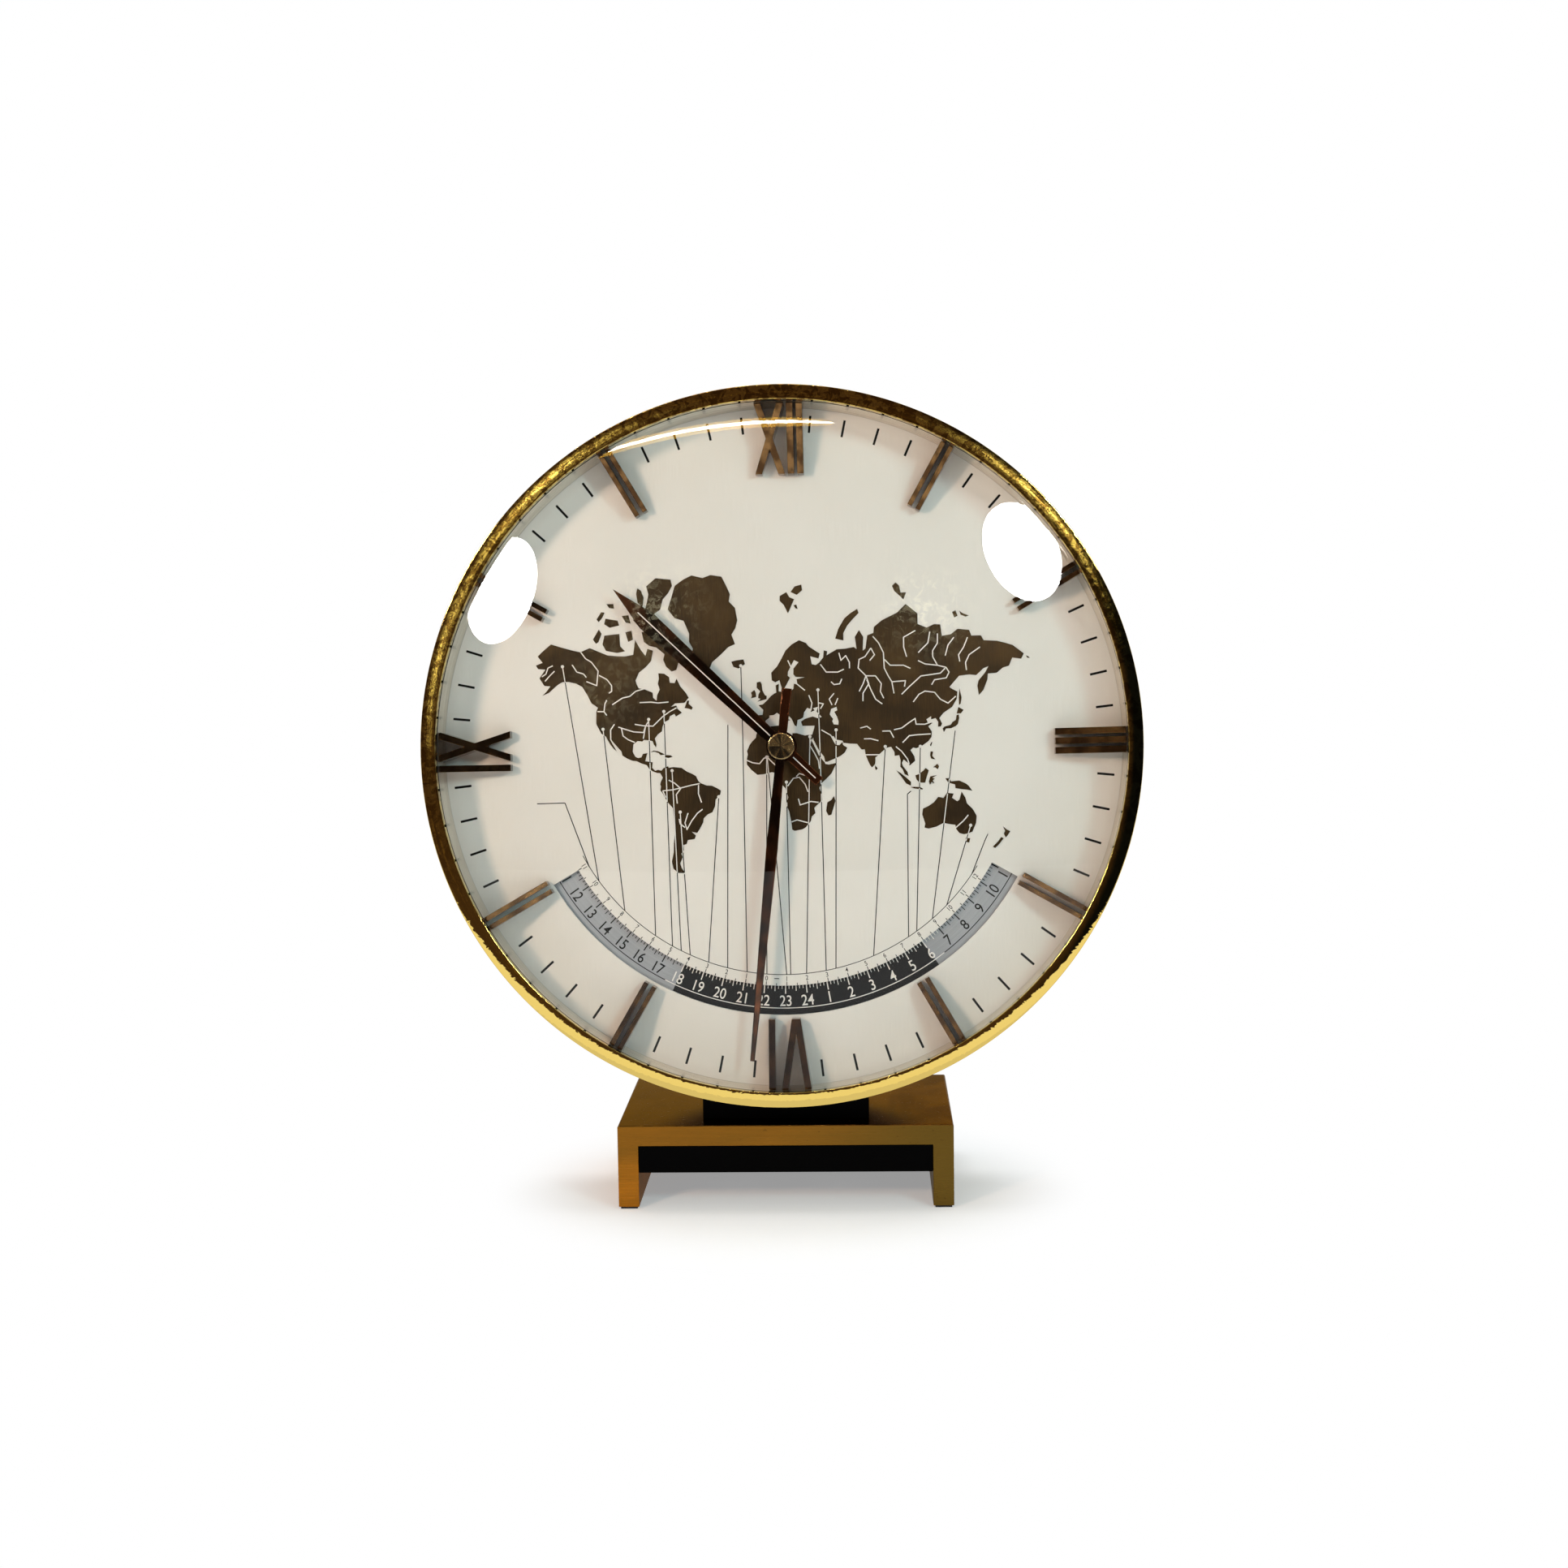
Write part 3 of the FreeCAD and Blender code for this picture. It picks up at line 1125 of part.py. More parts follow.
def arbor_wheel(x, y, wheel, wheel_low, leaves, leaves_low):
    arbor = disc(pivot_radius, bridge_back + motion_gap, plate_back - motion_gap, x, y)
    low = min(wheel_low, leaves_low)
    high = max(wheel_low + wheel_width, leaves_low + pinion_width)
    hub = disc(pivot_radius * hub_share, low, high, x, y)
    return leaned(joined([arbor, hub, wheel, leaves]))


def third_wheel():
    wheel_low = third_wheel_front - wheel_width
    leaves_low = centre_wheel_back - (pinion_width - wheel_width) / 2
    wheel = gear(third_teeth, third_module, wheel_tooth_shares, 0, wheel_low, third_wheel_front,
                 third_x, third_y)
    leaves = gear(low_leaves, centre_module, leaf_tooth_shares, third_leaf_phase, leaves_low,
                  leaves_low + pinion_width, third_x, third_y)
    return arbor_wheel(third_x, third_y, wheel, wheel_low, leaves, leaves_low)


def seconds_wheel():
    wheel_low = seconds_wheel_front - wheel_width
    leaves_low = third_wheel_front - wheel_width - (pinion_width - wheel_width) / 2
    wheel = gear(seconds_teeth, seconds_module, wheel_tooth_shares, 0, wheel_low, seconds_wheel_front,
                 seconds_x, seconds_y)
    leaves = gear(low_leaves, third_module, leaf_tooth_shares, seconds_leaf_phase, leaves_low,
                  leaves_low + pinion_width, seconds_x, seconds_y)
    return arbor_wheel(seconds_x, seconds_y, wheel, wheel_low, leaves, leaves_low)


def reduction_wheel():
    wheel_low = reduction_wheel_front - wheel_width
    leaves_low = seconds_wheel_front - wheel_width - (pinion_width - wheel_width) / 2
    wheel = gear(reduction_teeth, rotor_module, wheel_tooth_shares, 0, wheel_low, reduction_wheel_front,
                 reduction_x, reduction_y)
    leaves = gear(high_leaves, seconds_module, leaf_tooth_shares, reduction_leaf_phase, leaves_low,
                  leaves_low + pinion_width, reduction_x, reduction_y)
    return arbor_wheel(reduction_x, reduction_y, wheel, wheel_low, leaves, leaves_low)


def rotor():
    leaves_low = reduction_wheel_front - wheel_width - (pinion_width - wheel_width) / 2
    magnet_low = leaves_low + pinion_width
    arbor = disc(pivot_radius, bridge_back + motion_gap, plate_back - motion_gap, rotor_x, rotor_y)
    leaves = gear(high_leaves, rotor_module, leaf_tooth_shares, rotor_leaf_phase, leaves_low,
                  magnet_low, rotor_x, rotor_y)
    magnet = disc(magnet_radius, magnet_low, magnet_low + magnet_height, rotor_x, rotor_y)
    return leaned(joined([arbor, leaves, magnet]))


magnet_middle = (reduction_wheel_front - wheel_width - (pinion_width - wheel_width) / 2
                 + pinion_width + magnet_height / 2)
stator_right = rotor_x + stator_width / 2
stator_left = rotor_x - stator_width / 2
stator_top = rotor_y + stator_arm
coil_y = stator_top - stator_length + core_bar_width


def stator():
    low = magnet_middle - stator_thickness / 2
    high = low + stator_thickness
    yoke = block(stator_left, stator_right, rotor_y - stator_arm * 3 / 2, stator_top, low, high)
    yoke = yoke.cut(disc(magnet_radius + magnet_gap, low - overrun, high + overrun, rotor_x, rotor_y))
    bottom = coil_y - core_bar_width / 2
    arms = [
        block(stator_left, stator_left + stator_arm, bottom, stator_top, low, high),
        block(stator_right - stator_arm, stator_right, bottom, stator_top, low, high),
    ]
    bar = block(stator_left, stator_right, bottom, bottom + core_bar_width, low - stator_thickness, low)
    posts = [
        disc(board_post, bridge_front, low, x, rotor_y - stator_arm * 5 / 2)
        for x in (stator_left + stator_arm / 2, stator_right - stator_arm / 2)
    ]
    return leaned(joined([yoke, bar] + arms + posts))


def coil():
    middle = magnet_middle - stator_thickness
    left = stator_left + stator_arm + fit_gap
    right = stator_right - stator_arm - fit_gap
    winding = Part.makeCylinder(coil_radius, right - left, vector(left, coil_y, middle), vector(1, 0, 0))
    half = core_bar_width / 2 + seat_gap
    hole = block(left - overrun, right + overrun, coil_y - half, coil_y + half,
                 middle - stator_thickness / 2 - seat_gap, middle + stator_thickness / 2 + seat_gap)
    return leaned(winding.cut(hole))


# Movement case

def movement_outline(margin):
    side = movement_half_width - margin
    top = movement_top - margin
    bottom = movement_bottom + margin
    cut = movement_corner - margin / 2
    return (
        (-side, bottom + cut), (-side + cut, bottom), (side - cut, bottom), (side, bottom + cut),
        (side, top - cut), (side - cut, top), (-side + cut, top), (-side, top - cut),
    )


def boss_spots():
    side = movement_half_width - boss_inset
    lower = bay_top + movement_wall + boss_radius + motion_gap
    upper = movement_top - boss_inset
    return [(-side, upper), (side, upper), (-side, lower), (side, lower)]


def train_pivots():
    return [(third_x, third_y), (seconds_x, seconds_y), (reduction_x, reduction_y), (rotor_x, rotor_y)]


def movement_front():
    cup = slab(movement_outline(0), split_place, plate_back)
    hollow = slab(movement_outline(movement_wall), split_place - overrun, shell_front_inside)
    bosses = [disc(boss_radius, bridge_front, shell_front_inside, x, y) for x, y in boss_spots()]
    stud = disc(motion_module, minute_wheel_back - wheel_width / 2, shell_front_inside, 0, -motion_centre)
    bushing = disc(bushing_radius, plate_back, plate_front + centre_nut_height + motion_gap / 2)
    divider = block(-bay_half_length, bay_half_length, bay_top, bay_top + movement_wall,
                    split_place, shell_front_inside)
    case = joined([cup.cut(hollow), bushing, stud, divider] + bosses)
    holes = [disc(pipe_radius + run_gap, shell_front_inside - overrun, face_height)]
    pivots = train_pivots() + [(0, setter_y)]
    holes += [disc(pivot_radius + run_gap, shell_front_inside - overrun, plate_back + overrun, x, y)
              for x, y in pivots]
    holes += [disc(screw_shank, bridge_front - overrun, shell_front_inside, x, y) for x, y in boss_spots()]
    return leaned(case.cut(holes))


def movement_back_shell():
    cup = slab(movement_outline(0), movement_back, split_place)
    hollow = slab(movement_outline(movement_wall), shell_back_inside, split_place + overrun)
    bosses = [disc(boss_radius, shell_back_inside, bridge_back, x, y) for x, y in boss_spots()]
    divider = block(-bay_half_length, bay_half_length, bay_top, bay_top + movement_wall,
                    shell_back_inside, split_place)
    case = joined([cup.cut(hollow), divider] + bosses)
    holes = [disc(setter_stem_radius + fit_gap, movement_back - overrun, shell_back_inside + overrun, 0, setter_y)]
    holes.append(block(-door_half_length, door_half_length, bay_bottom, bay_top,
                       movement_back - overrun, shell_back_inside + overrun))
    holes += [disc(screw_shank + seat_gap, movement_back - overrun, bridge_front, x, y) for x, y in boss_spots()]
    return leaned(case.cut(holes))


def train_bridge():
    side = movement_half_width - movement_wall - bridge_margin
    plate = block(-side, side, bay_top + movement_wall + bridge_margin / 2,
                  movement_top - movement_wall - bridge_margin, bridge_back, bridge_front)
    posts = [disc(board_post, bridge_back - board_post, bridge_back, x, y) for x, y in board_post_spots()]
    holes = [disc(pivot_radius + run_gap, bridge_back - overrun, bridge_front + overrun, x, y)
             for x, y in train_pivots()]
    holes.append(disc(pivot_radius * 2 + run_gap, bridge_back - overrun, bridge_front + overrun))
    holes.append(disc(setter_stem_radius + run_gap, bridge_back - overrun, bridge_front + overrun, 0, setter_y))
    holes += [disc(screw_shank + seat_gap, bridge_back - overrun, bridge_front + overrun, x, y)
              for x, y in boss_spots()]
    return leaned(joined([plate] + posts).cut(holes))


def movement_screws():
    reach = shell_front_inside - motion_gap - movement_back - movement_wall
    screw = slotted_screw(boss_radius - seat_gap, screw_head_height / 2, screw_shank, reach)
    screw.rotate(vector(0, 0, 0), vector(1, 0, 0), 180)
    screws = []
    for x, y in boss_spots():
        copy = screw.copy()
        copy.translate(vector(x, y, movement_back))
        screws.append(copy)
    return leaned(Part.makeCompound(screws))


def centre_nut():
    across = nut_across / math.cos(math.pi / 6) / 2
    corners = [polar(across, 60 * turn) for turn in range(6)]
    nut = slab(corners, plate_front, plate_front + centre_nut_height)
    return leaned(nut.cut(disc(bushing_radius, plate_front - overrun, plate_front + overrun * 2)))


board_left = clutch_hub_radius * 2
board_front = bridge_back - board_post
board_back = board_front - board_thickness


def board_post_spots():
    x = board_left + board_width / 2
    return [(x, -board_length / 4), (x, board_length / 4)]


def circuit_board():
    board = block(board_left, board_left + board_width, -board_length / 2, board_length / 2,
                  board_back, board_front)
    chip_half = board_width / 6
    chip_x = board_left + board_width / 3
    chip = block(chip_x - chip_half, chip_x + chip_half, -chip_half, chip_half,
                 board_back - board_thickness, board_back)
    return leaned(joined([board, chip]))


def quartz_can():
    x = board_left + board_width * 3 / 4
    return leaned(Part.makeCylinder(can_radius, can_length, vector(x, 0, board_back - can_radius),
                                    vector(0, 1, 0)))


def battery():
    start = -(cell_length + cell_nub_length) / 2
    can = Part.makeCylinder(cell_radius, cell_length, vector(start, bay_centre, cell_axis), vector(1, 0, 0))
    nub = Part.makeCylinder(cell_nub_radius, cell_nub_length,
                            vector(start + cell_length, bay_centre, cell_axis), vector(1, 0, 0))
    return leaned(joined([can, nub]))


def battery_contacts():
    end = (cell_length + cell_nub_length) / 2
    half = contact_width / 2
    leaves = []
    for side in (-1, 1):
        leaf = block(end, end + contact_thickness, bay_centre - half, bay_centre + half,
                     cell_axis - cell_radius / 2, shell_front_inside)
        foot = block(end, bay_half_length, bay_centre - half, bay_centre + half,
                     shell_front_inside - contact_thickness, shell_front_inside)
        contact = joined([leaf, foot])
        if side < 0:
            contact = contact.mirror(vector(0, 0, 0), vector(1, 0, 0))
        leaves.append(contact)
    return leaned(Part.makeCompound(leaves))


pieces = {
    "stand_bridge": stand_bridge,
    "stand_core": stand_core,
    "foot_pads": foot_pads,
    "neck_block": neck_block,
    "case_bolts": case_bolts,
    "case_nuts": case_nuts,
    "saddle_plate": saddle_plate,
    "case_shell": case_shell,
    "bezel_ring": bezel_ring,
    "crystal": crystal,
    "crystal_gasket": crystal_gasket,
    "wall_ring": wall_ring,
    "back_cover": back_cover,
    "back_cover_screws": back_cover_screws,
    "battery_door": battery_door,
    "dial_plate": dial_plate,
    "world_map": world_map,
    "numeral_twelve": numeral_twelve,
    "numeral_three": numeral_three,
    "numeral_six": numeral_six,
    "numeral_nine": numeral_nine,
    "hour_bars": hour_bars,
    "hour_ring": hour_ring,
    "idler_inner": idler_inner,
    "idler_outer": idler_outer,
    "idler_studs": idler_studs,
    "idler_clips": idler_clips,
    "ring_guides": ring_guides,
    "dial_pillars": dial_pillars,
    "plate_screws": plate_screws,
    "mounting_plate": mounting_plate,
    "hour_hand": hour_hand,
    "minute_hand": minute_hand,
    "hub_cap": hub_cap,
    "hour_wheel": hour_wheel,
    "ring_drive_gear": ring_drive_gear,
    "minute_arbor": minute_arbor,
    "minute_wheel": minute_wheel,
    "setting_stem": setting_stem,
    "setting_knob": setting_knob,
    "centre_wheel": centre_wheel,
    "third_wheel": third_wheel,
    "seconds_wheel": seconds_wheel,
    "reduction_wheel": reduction_wheel,
    "rotor": rotor,
    "stator": stator,
    "coil": coil,
    "movement_front": movement_front,
    "movement_back": movement_back_shell,
    "train_bridge": train_bridge,
    "movement_screws": movement_screws,
    "centre_nut": centre_nut,
    "circuit_board": circuit_board,
    "quartz_can": quartz_can,
    "battery": battery,
    "battery_contacts": battery_contacts,
}

os.makedirs("parts", exist_ok=True)
for name, make in pieces.items():
    save(name, make())
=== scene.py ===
import math

import bmesh
import bpy
import numpy as np
from mathutils import Matrix, Vector


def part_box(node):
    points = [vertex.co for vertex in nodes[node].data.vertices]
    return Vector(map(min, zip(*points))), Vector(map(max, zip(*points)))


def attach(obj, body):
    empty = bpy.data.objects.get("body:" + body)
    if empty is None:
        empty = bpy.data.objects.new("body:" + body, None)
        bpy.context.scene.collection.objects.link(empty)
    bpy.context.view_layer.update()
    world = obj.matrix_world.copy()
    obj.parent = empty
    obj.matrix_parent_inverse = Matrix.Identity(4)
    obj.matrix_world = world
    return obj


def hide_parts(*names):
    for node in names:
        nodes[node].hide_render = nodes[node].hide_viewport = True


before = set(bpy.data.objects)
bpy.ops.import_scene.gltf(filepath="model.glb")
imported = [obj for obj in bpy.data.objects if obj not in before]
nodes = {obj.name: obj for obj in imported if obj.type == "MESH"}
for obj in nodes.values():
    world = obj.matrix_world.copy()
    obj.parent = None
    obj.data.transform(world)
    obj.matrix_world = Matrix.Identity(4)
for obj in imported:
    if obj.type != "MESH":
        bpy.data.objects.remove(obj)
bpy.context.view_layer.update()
scene = bpy.context.scene
mm = 0.001

# The dial's own frame: x right, y up the dial, z out of it, in millimetres, as in the CAD source
lean = math.radians(5.4)
upWay = np.array((0, math.sin(lean), math.cos(lean)))
outWay = np.array((0, -math.cos(lean), math.sin(lean)))
rightWay = np.array((1.0, 0, 0))
lowCorner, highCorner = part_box("dial_plate")
dialCentre = np.array((lowCorner + highCorner) / 2) + outWay * 0.6 * mm
printTurn = 0.5


def toRow(points):
    points = np.asarray(points, float)
    return dialCentre + (points[:, :1] * rightWay + points[:, 1:2] * upWay + points[:, 2:] * outWay) * mm


# Shader trees: a Flow is a socket that adds and scales like a number, a Web makes the nodes
class Flow:
    def __init__(self, web, socket):
        self.web, self.socket = web, socket

    def op(self, operation, *values):
        return self.web.make("ShaderNodeMath", {"operation": operation}, dict(enumerate(values)))

    def __add__(self, other):
        return self.op("ADD", self, other)

    def __radd__(self, other):
        return self.op("ADD", other, self)

    def __sub__(self, other):
        return self.op("SUBTRACT", self, other)

    def __rsub__(self, other):
        return self.op("SUBTRACT", other, self)

    def __mul__(self, other):
        return self.op("MULTIPLY", self, other)

    def __truediv__(self, other):
        return self.op("DIVIDE", self, other)

    def __pow__(self, other):
        return self.op("POWER", self, other)


class Web:
    def __init__(self, owner):
        owner.use_nodes = True
        self.owner, self.tree = owner, owner.node_tree
        self.tree.nodes.clear()

    # Settings are the node's own properties, values its sockets by number or name
    def make(self, kind, settings, values, output=0):
        node = self.tree.nodes.new(kind)
        for name, value in settings.items():
            setattr(node, name, value)
        for key, value in values.items():
            socket = node.inputs[key]
            if isinstance(value, Flow):
                self.tree.links.new(value.socket, socket)
            else:
                socket.default_value = (*value, 1) if socket.type == "RGBA" else value
        return Flow(self, node.outputs[output] if node.outputs else None)

    def mix(self, factor, first, second):
        return self.make("ShaderNodeMix", {"data_type": "RGBA"}, {0: factor, 6: first, 7: second}, 2)

    def place(self, stretch=(1, 1, 1)):
        spot = self.make("ShaderNodeTexCoord", {}, {}, 3)
        return self.make("ShaderNodeMapping", {}, {0: spot, "Scale": [s / mm for s in stretch]})

    def dialPlace(self, turn=0):
        spot = self.make("ShaderNodeTexCoord", {}, {}, 3)
        spot = self.make("ShaderNodeMapping", {"vector_type": "TEXTURE"}, {
            0: spot, "Location": dialCentre, "Rotation": (math.pi / 2 - lean, 0, 0), "Scale": (mm, mm, mm)})
        return self.make("ShaderNodeMapping", {"vector_type": "TEXTURE"},
                         {0: spot, "Rotation": (0, 0, math.radians(turn))})

    def stretched(self, spot, stretch):
        return self.make("ShaderNodeMapping", {}, {0: spot, "Scale": stretch})

    def part(self, spot, index):
        return self.make("ShaderNodeSeparateXYZ", {}, {0: spot}, index)

    def radius(self, spot):
        flat = self.stretched(spot, (1, 1, 0))
        return self.make("ShaderNodeVectorMath", {"operation": "LENGTH"}, {0: flat}, 1)

    def noise(self, spot, scale, detail=2, rough=0.5, bend=0):
        return self.make("ShaderNodeTexNoise", {}, {
            "Vector": spot, "Scale": scale, "Detail": detail, "Roughness": rough, "Distortion": bend})

    def rings(self, value, scale, detail=2):
        return self.make("ShaderNodeTexNoise", {"noise_dimensions": "1D"},
                         {"W": value, "Scale": scale, "Detail": detail})

    def ramp(self, value, low, high, start=0, end=1):
        return self.make("ShaderNodeMapRange", {"interpolation_type": "SMOOTHSTEP"}, {
            "Value": value, "From Min": low, "From Max": high, "To Min": start, "To Max": end})

    def bump(self, height, depth, strength=1):
        return self.make("ShaderNodeBump", {}, {
            "Height": height, "Distance": depth * mm, "Strength": strength})

    def surface(self, values):
        shader = self.make("ShaderNodeBsdfPrincipled", {}, values)
        self.make("ShaderNodeOutputMaterial", {}, {"Surface": shader})
        return self.owner


def newWeb(name):
    return Web(bpy.data.materials.new(name))


# A moulded surface: fine grain, faint clouds of colour
def moulded(name, colour, roughness=0.45, grain=0.02, cloud=0.15, values=None):
    web = newWeb(name)
    spot = web.place()
    clouds = web.noise(spot, 0.06, 3)
    grains = web.noise(spot, 4, 2)
    darker = [c * (1 - cloud) for c in colour]
    return web.surface({
        "Base Color": web.mix(web.ramp(clouds, 0.3, 0.7), darker, colour),
        "Roughness": web.ramp(grains, 0.2, 0.8, roughness * 0.85, roughness * 1.15),
        "Normal": web.bump(grains, grain), **(values or {})})


# A metal with brush lines along the axis whose stretch is small
def brushed(name, colour, dark, stretch, roughness=0.3, depth=0.01, blotch=0.3):
    web = newWeb(name)
    lines = web.noise(web.place(stretch), 1, 3, 0.6)
    cloud = web.noise(web.place(), 0.07, 3)
    tone = web.ramp(lines, 0.3, 0.7) * (1 - blotch) + web.ramp(cloud, 0.3, 0.7) * blotch
    return web.surface({
        "Base Color": web.mix(tone, dark, colour), "Metallic": 1.0,
        "Roughness": web.ramp(lines, 0.25, 0.75, roughness * 1.25, roughness * 0.75),
        "Normal": web.bump(lines, depth)})


# A metal turned on a lathe about the dial's axis: lines by radius plus lines by height
def turnedMetal(name, colour, dark, roughness=0.25, depth=0.008, pitch=3):
    web = newWeb(name)
    spot = web.dialPlace()
    lines = web.rings(web.radius(spot) + web.part(spot, 2), pitch)
    cloud = web.noise(spot, 0.09, 3)
    return web.surface({
        "Base Color": web.mix(web.ramp(cloud + lines * 0.5, 0.5, 1), dark, colour), "Metallic": 1.0,
        "Roughness": web.ramp(lines, 0.3, 0.7, roughness * 0.8, roughness * 1.2),
        "Normal": web.bump(lines, depth)})


# Tones left and right, a painted fall of light from the lit left to the darker right; the dark tone, for brush
# grain and for painted shade on the bar;
# the top face's, darkened as a painted reflection; and the ranges across and up where they change
standLook = {
    "left": (0.41, 0.145, 0.012), "right": (0.13, 0.077, 0.014), "dark": (0.13, 0.072, 0.012),
    "top": (0.135, 0.055, 0.009), "topDark": (0.06, 0.022, 0.004), "pit": (0.03, 0.015, 0.005),
    "edge": (0.49, 0.4, 0.3), "roughness": 0.32, "polish": 0.14, "relief": 0.012,
    "across": (-55, 60), "topFrom": (30.3, 30.6), "barFrom": (14, 21), "barShade": 0.55,
}


def standBrass():
    web = newWeb("brushed_brass")
    spot = web.place()
    lines = web.noise(web.place((0.03, 5, 5)), 1, 3, 0.65)
    hairs = web.noise(web.place((0.4, 9, 9)), 1, 2)
    cloud = web.noise(web.place((0.03, 0.1, 0.1)), 1, 3)
    pits = web.ramp(web.noise(spot, 0.7, 4, 0.75), 0.64, 0.69)
    # Painted light: across the stand the tone runs from the lit left to the darker right
    side = web.ramp(web.part(spot, 0), *standLook["across"])
    ceiling = web.ramp(web.part(spot, 2), *standLook["topFrom"])
    tone = web.mix(side, standLook["left"], standLook["right"])
    wear = web.ramp(lines * 0.3 + hairs * 0.2 + cloud * 0.5, 0.36, 0.58, 0.6, 1)
    shaded = web.mix(wear, standLook["dark"], tone)
    # The top face: real scratches, with both of its tones darkened as a painted reflection of the dark
    # surroundings
    scratch = web.noise(web.place((0.05, 0.03, 1)), 1, 4, 0.6, 0.8)
    topScratchAndReflection = web.mix(web.ramp(scratch, 0.36, 0.62), standLook["topDark"], standLook["top"])
    colour = web.mix(ceiling, shaded, topScratchAndReflection)
    rough = web.ramp(lines, 0.3, 0.7, standLook["roughness"] * 1.2, standLook["roughness"] * 0.8)
    # Painted shade: above the legs the bar is pulled towards the dark tone, most on the left
    paintedBarShade = web.ramp(web.part(spot, 2), *standLook["barFrom"]) * (1 - side) * standLook["barShade"]
    colour = web.mix(paintedBarShade, colour, standLook["dark"])
    return web.surface({
        "Specular Tint": standLook["edge"],
        "Base Color": web.mix(pits * (0.3 + side * 0.5), colour, standLook["pit"]), "Metallic": 1.0,
        "Roughness": rough - ceiling * standLook["polish"] + pits * 0.15,
        "Normal": web.bump(lines * 0.6 + hairs * 0.4 - pits * 0.6, standLook["relief"])})


# Darker patches a few millimetres across, on the upper part alone
bezelLook = {"colour": (0.7, 0.515, 0.14), "upperPatch": (0.3, 0.18, 0.045), "upperPatchFrom": (-70, 0),
             "roughness": 0.02, "mottle": 0.03}


def bezelBrass():
    web = newWeb("polished_brass")
    spot = web.dialPlace()
    mottle = web.noise(spot, 0.3, 2, 0.5, 0.6)
    streak = web.rings(web.radius(spot), 2.5)
    patches = web.ramp(web.noise(spot, 0.28, 4, 0.65, 0.8), 0.45, 0.56)
    upperPatch = patches * web.ramp(web.part(spot, 1), *bezelLook["upperPatchFrom"])
    return web.surface({
        "Base Color": web.mix(upperPatch, bezelLook["colour"], bezelLook["upperPatch"]), "Metallic": 1.0,
        "Roughness": bezelLook["roughness"] + upperPatch * 0.01 + web.ramp(streak, 0.4, 0.7) * 0.01,
        "Normal": web.bump(mottle, bezelLook["mottle"])})


wallLook = {"colour": (0.9, 0.85, 0.75), "dark": (0.6, 0.52, 0.42), "foot": (0.12, 0.11, 0.1),
            "roughness": 0.24}


def wallMetal():
    web = newWeb("wall_metal")
    spot = web.dialPlace()
    height = web.part(spot, 2)
    streak = web.rings(height, 2.6, 3)
    drift = web.noise(web.stretched(spot, (0.02, 0.02, 1.2)), 1, 2)
    foot = web.ramp(height, 0.9, 0.2)
    tone = web.mix(web.ramp(streak * 0.6 + drift * 0.4, 0.35, 0.6), wallLook["dark"], wallLook["colour"])
    return web.surface({
        "Base Color": web.mix(foot * 0.7, tone, wallLook["foot"]), "Metallic": 1.0,
        "Roughness": web.ramp(streak, 0.3, 0.7, wallLook["roughness"] * 0.8, wallLook["roughness"] * 1.25),
        "Normal": web.bump(streak, 0.02)})


dialLook = {"colour": (0.88, 0.855, 0.81), "shade": (0.84, 0.815, 0.765), "rim": (0.55, 0.5, 0.44),
            "rimFrom": (120, 125.2), "roughness": 0.42}


def dialPaint():
    web = newWeb("dial_paint")
    spot = web.dialPlace(printTurn)
    silk = web.noise(web.stretched(spot, (2.5, 0.12, 1)), 1, 2)
    cloud = web.noise(spot, 0.02, 2)
    speck = web.noise(spot, 5, 2)
    # Painted shade: the dial darkens towards its rim, in the recess inside the wall
    rim = web.ramp(web.radius(spot), *dialLook["rimFrom"])
    tone = web.mix(web.ramp(silk * 0.4 + cloud * 0.6, 0.35, 0.65), dialLook["shade"], dialLook["colour"])
    return web.surface({
        "Base Color": web.mix(rim * 0.25, tone, dialLook["rim"]),
        "Roughness": web.ramp(speck, 0.3, 0.7, dialLook["roughness"] - 0.05, dialLook["roughness"] + 0.05),
        "Normal": web.bump(speck * 0.5 + silk * 0.5, 0.004)})


mapLook = {"colour": (0.05, 0.028, 0.008), "dark": (0.022, 0.012, 0.0035), "roughness": 0.4}


def mapBronze():
    web = newWeb("map_bronze")
    spot = web.dialPlace(printTurn)
    lines = web.noise(web.stretched(spot, (6, 0.15, 3.5)), 1, 3, 0.6)
    cloud = web.noise(spot, 0.05, 3)
    tone = web.ramp(lines * 0.4 + cloud * 0.6, 0.38, 0.62)
    return web.surface({
        "Base Color": web.mix(tone, mapLook["dark"], mapLook["colour"]), "Metallic": 0.8,
        "Roughness": web.ramp(lines, 0.3, 0.7, mapLook["roughness"] * 1.2, mapLook["roughness"] * 0.85),
        "Normal": web.bump(lines, 0.01)})


markerLook = {"colour": (0.24, 0.13, 0.052), "dark": (0.08, 0.04, 0.017), "roughness": 0.1}


def markerBrass():
    web = newWeb("marker_brass")
    spot = web.dialPlace(printTurn)
    cloud = web.noise(spot, 0.16, 4, 0.6)
    grain = web.noise(spot, 2.2, 3)
    tone = web.ramp(cloud, 0.4, 0.62)
    return web.surface({
        "Base Color": web.mix(tone, markerLook["dark"], markerLook["colour"]), "Metallic": 1.0,
        "Roughness": web.ramp(grain, 0.3, 0.7, markerLook["roughness"] * 0.8, markerLook["roughness"] * 1.5),
        "Normal": web.bump(cloud * 0.7 + grain * 0.3, 0.02)})


ringLook = {"day": (0.42, 0.44, 0.47), "night": (0.006, 0.006, 0.0065), "firstHour": 23, "firstPlace": 0.4}


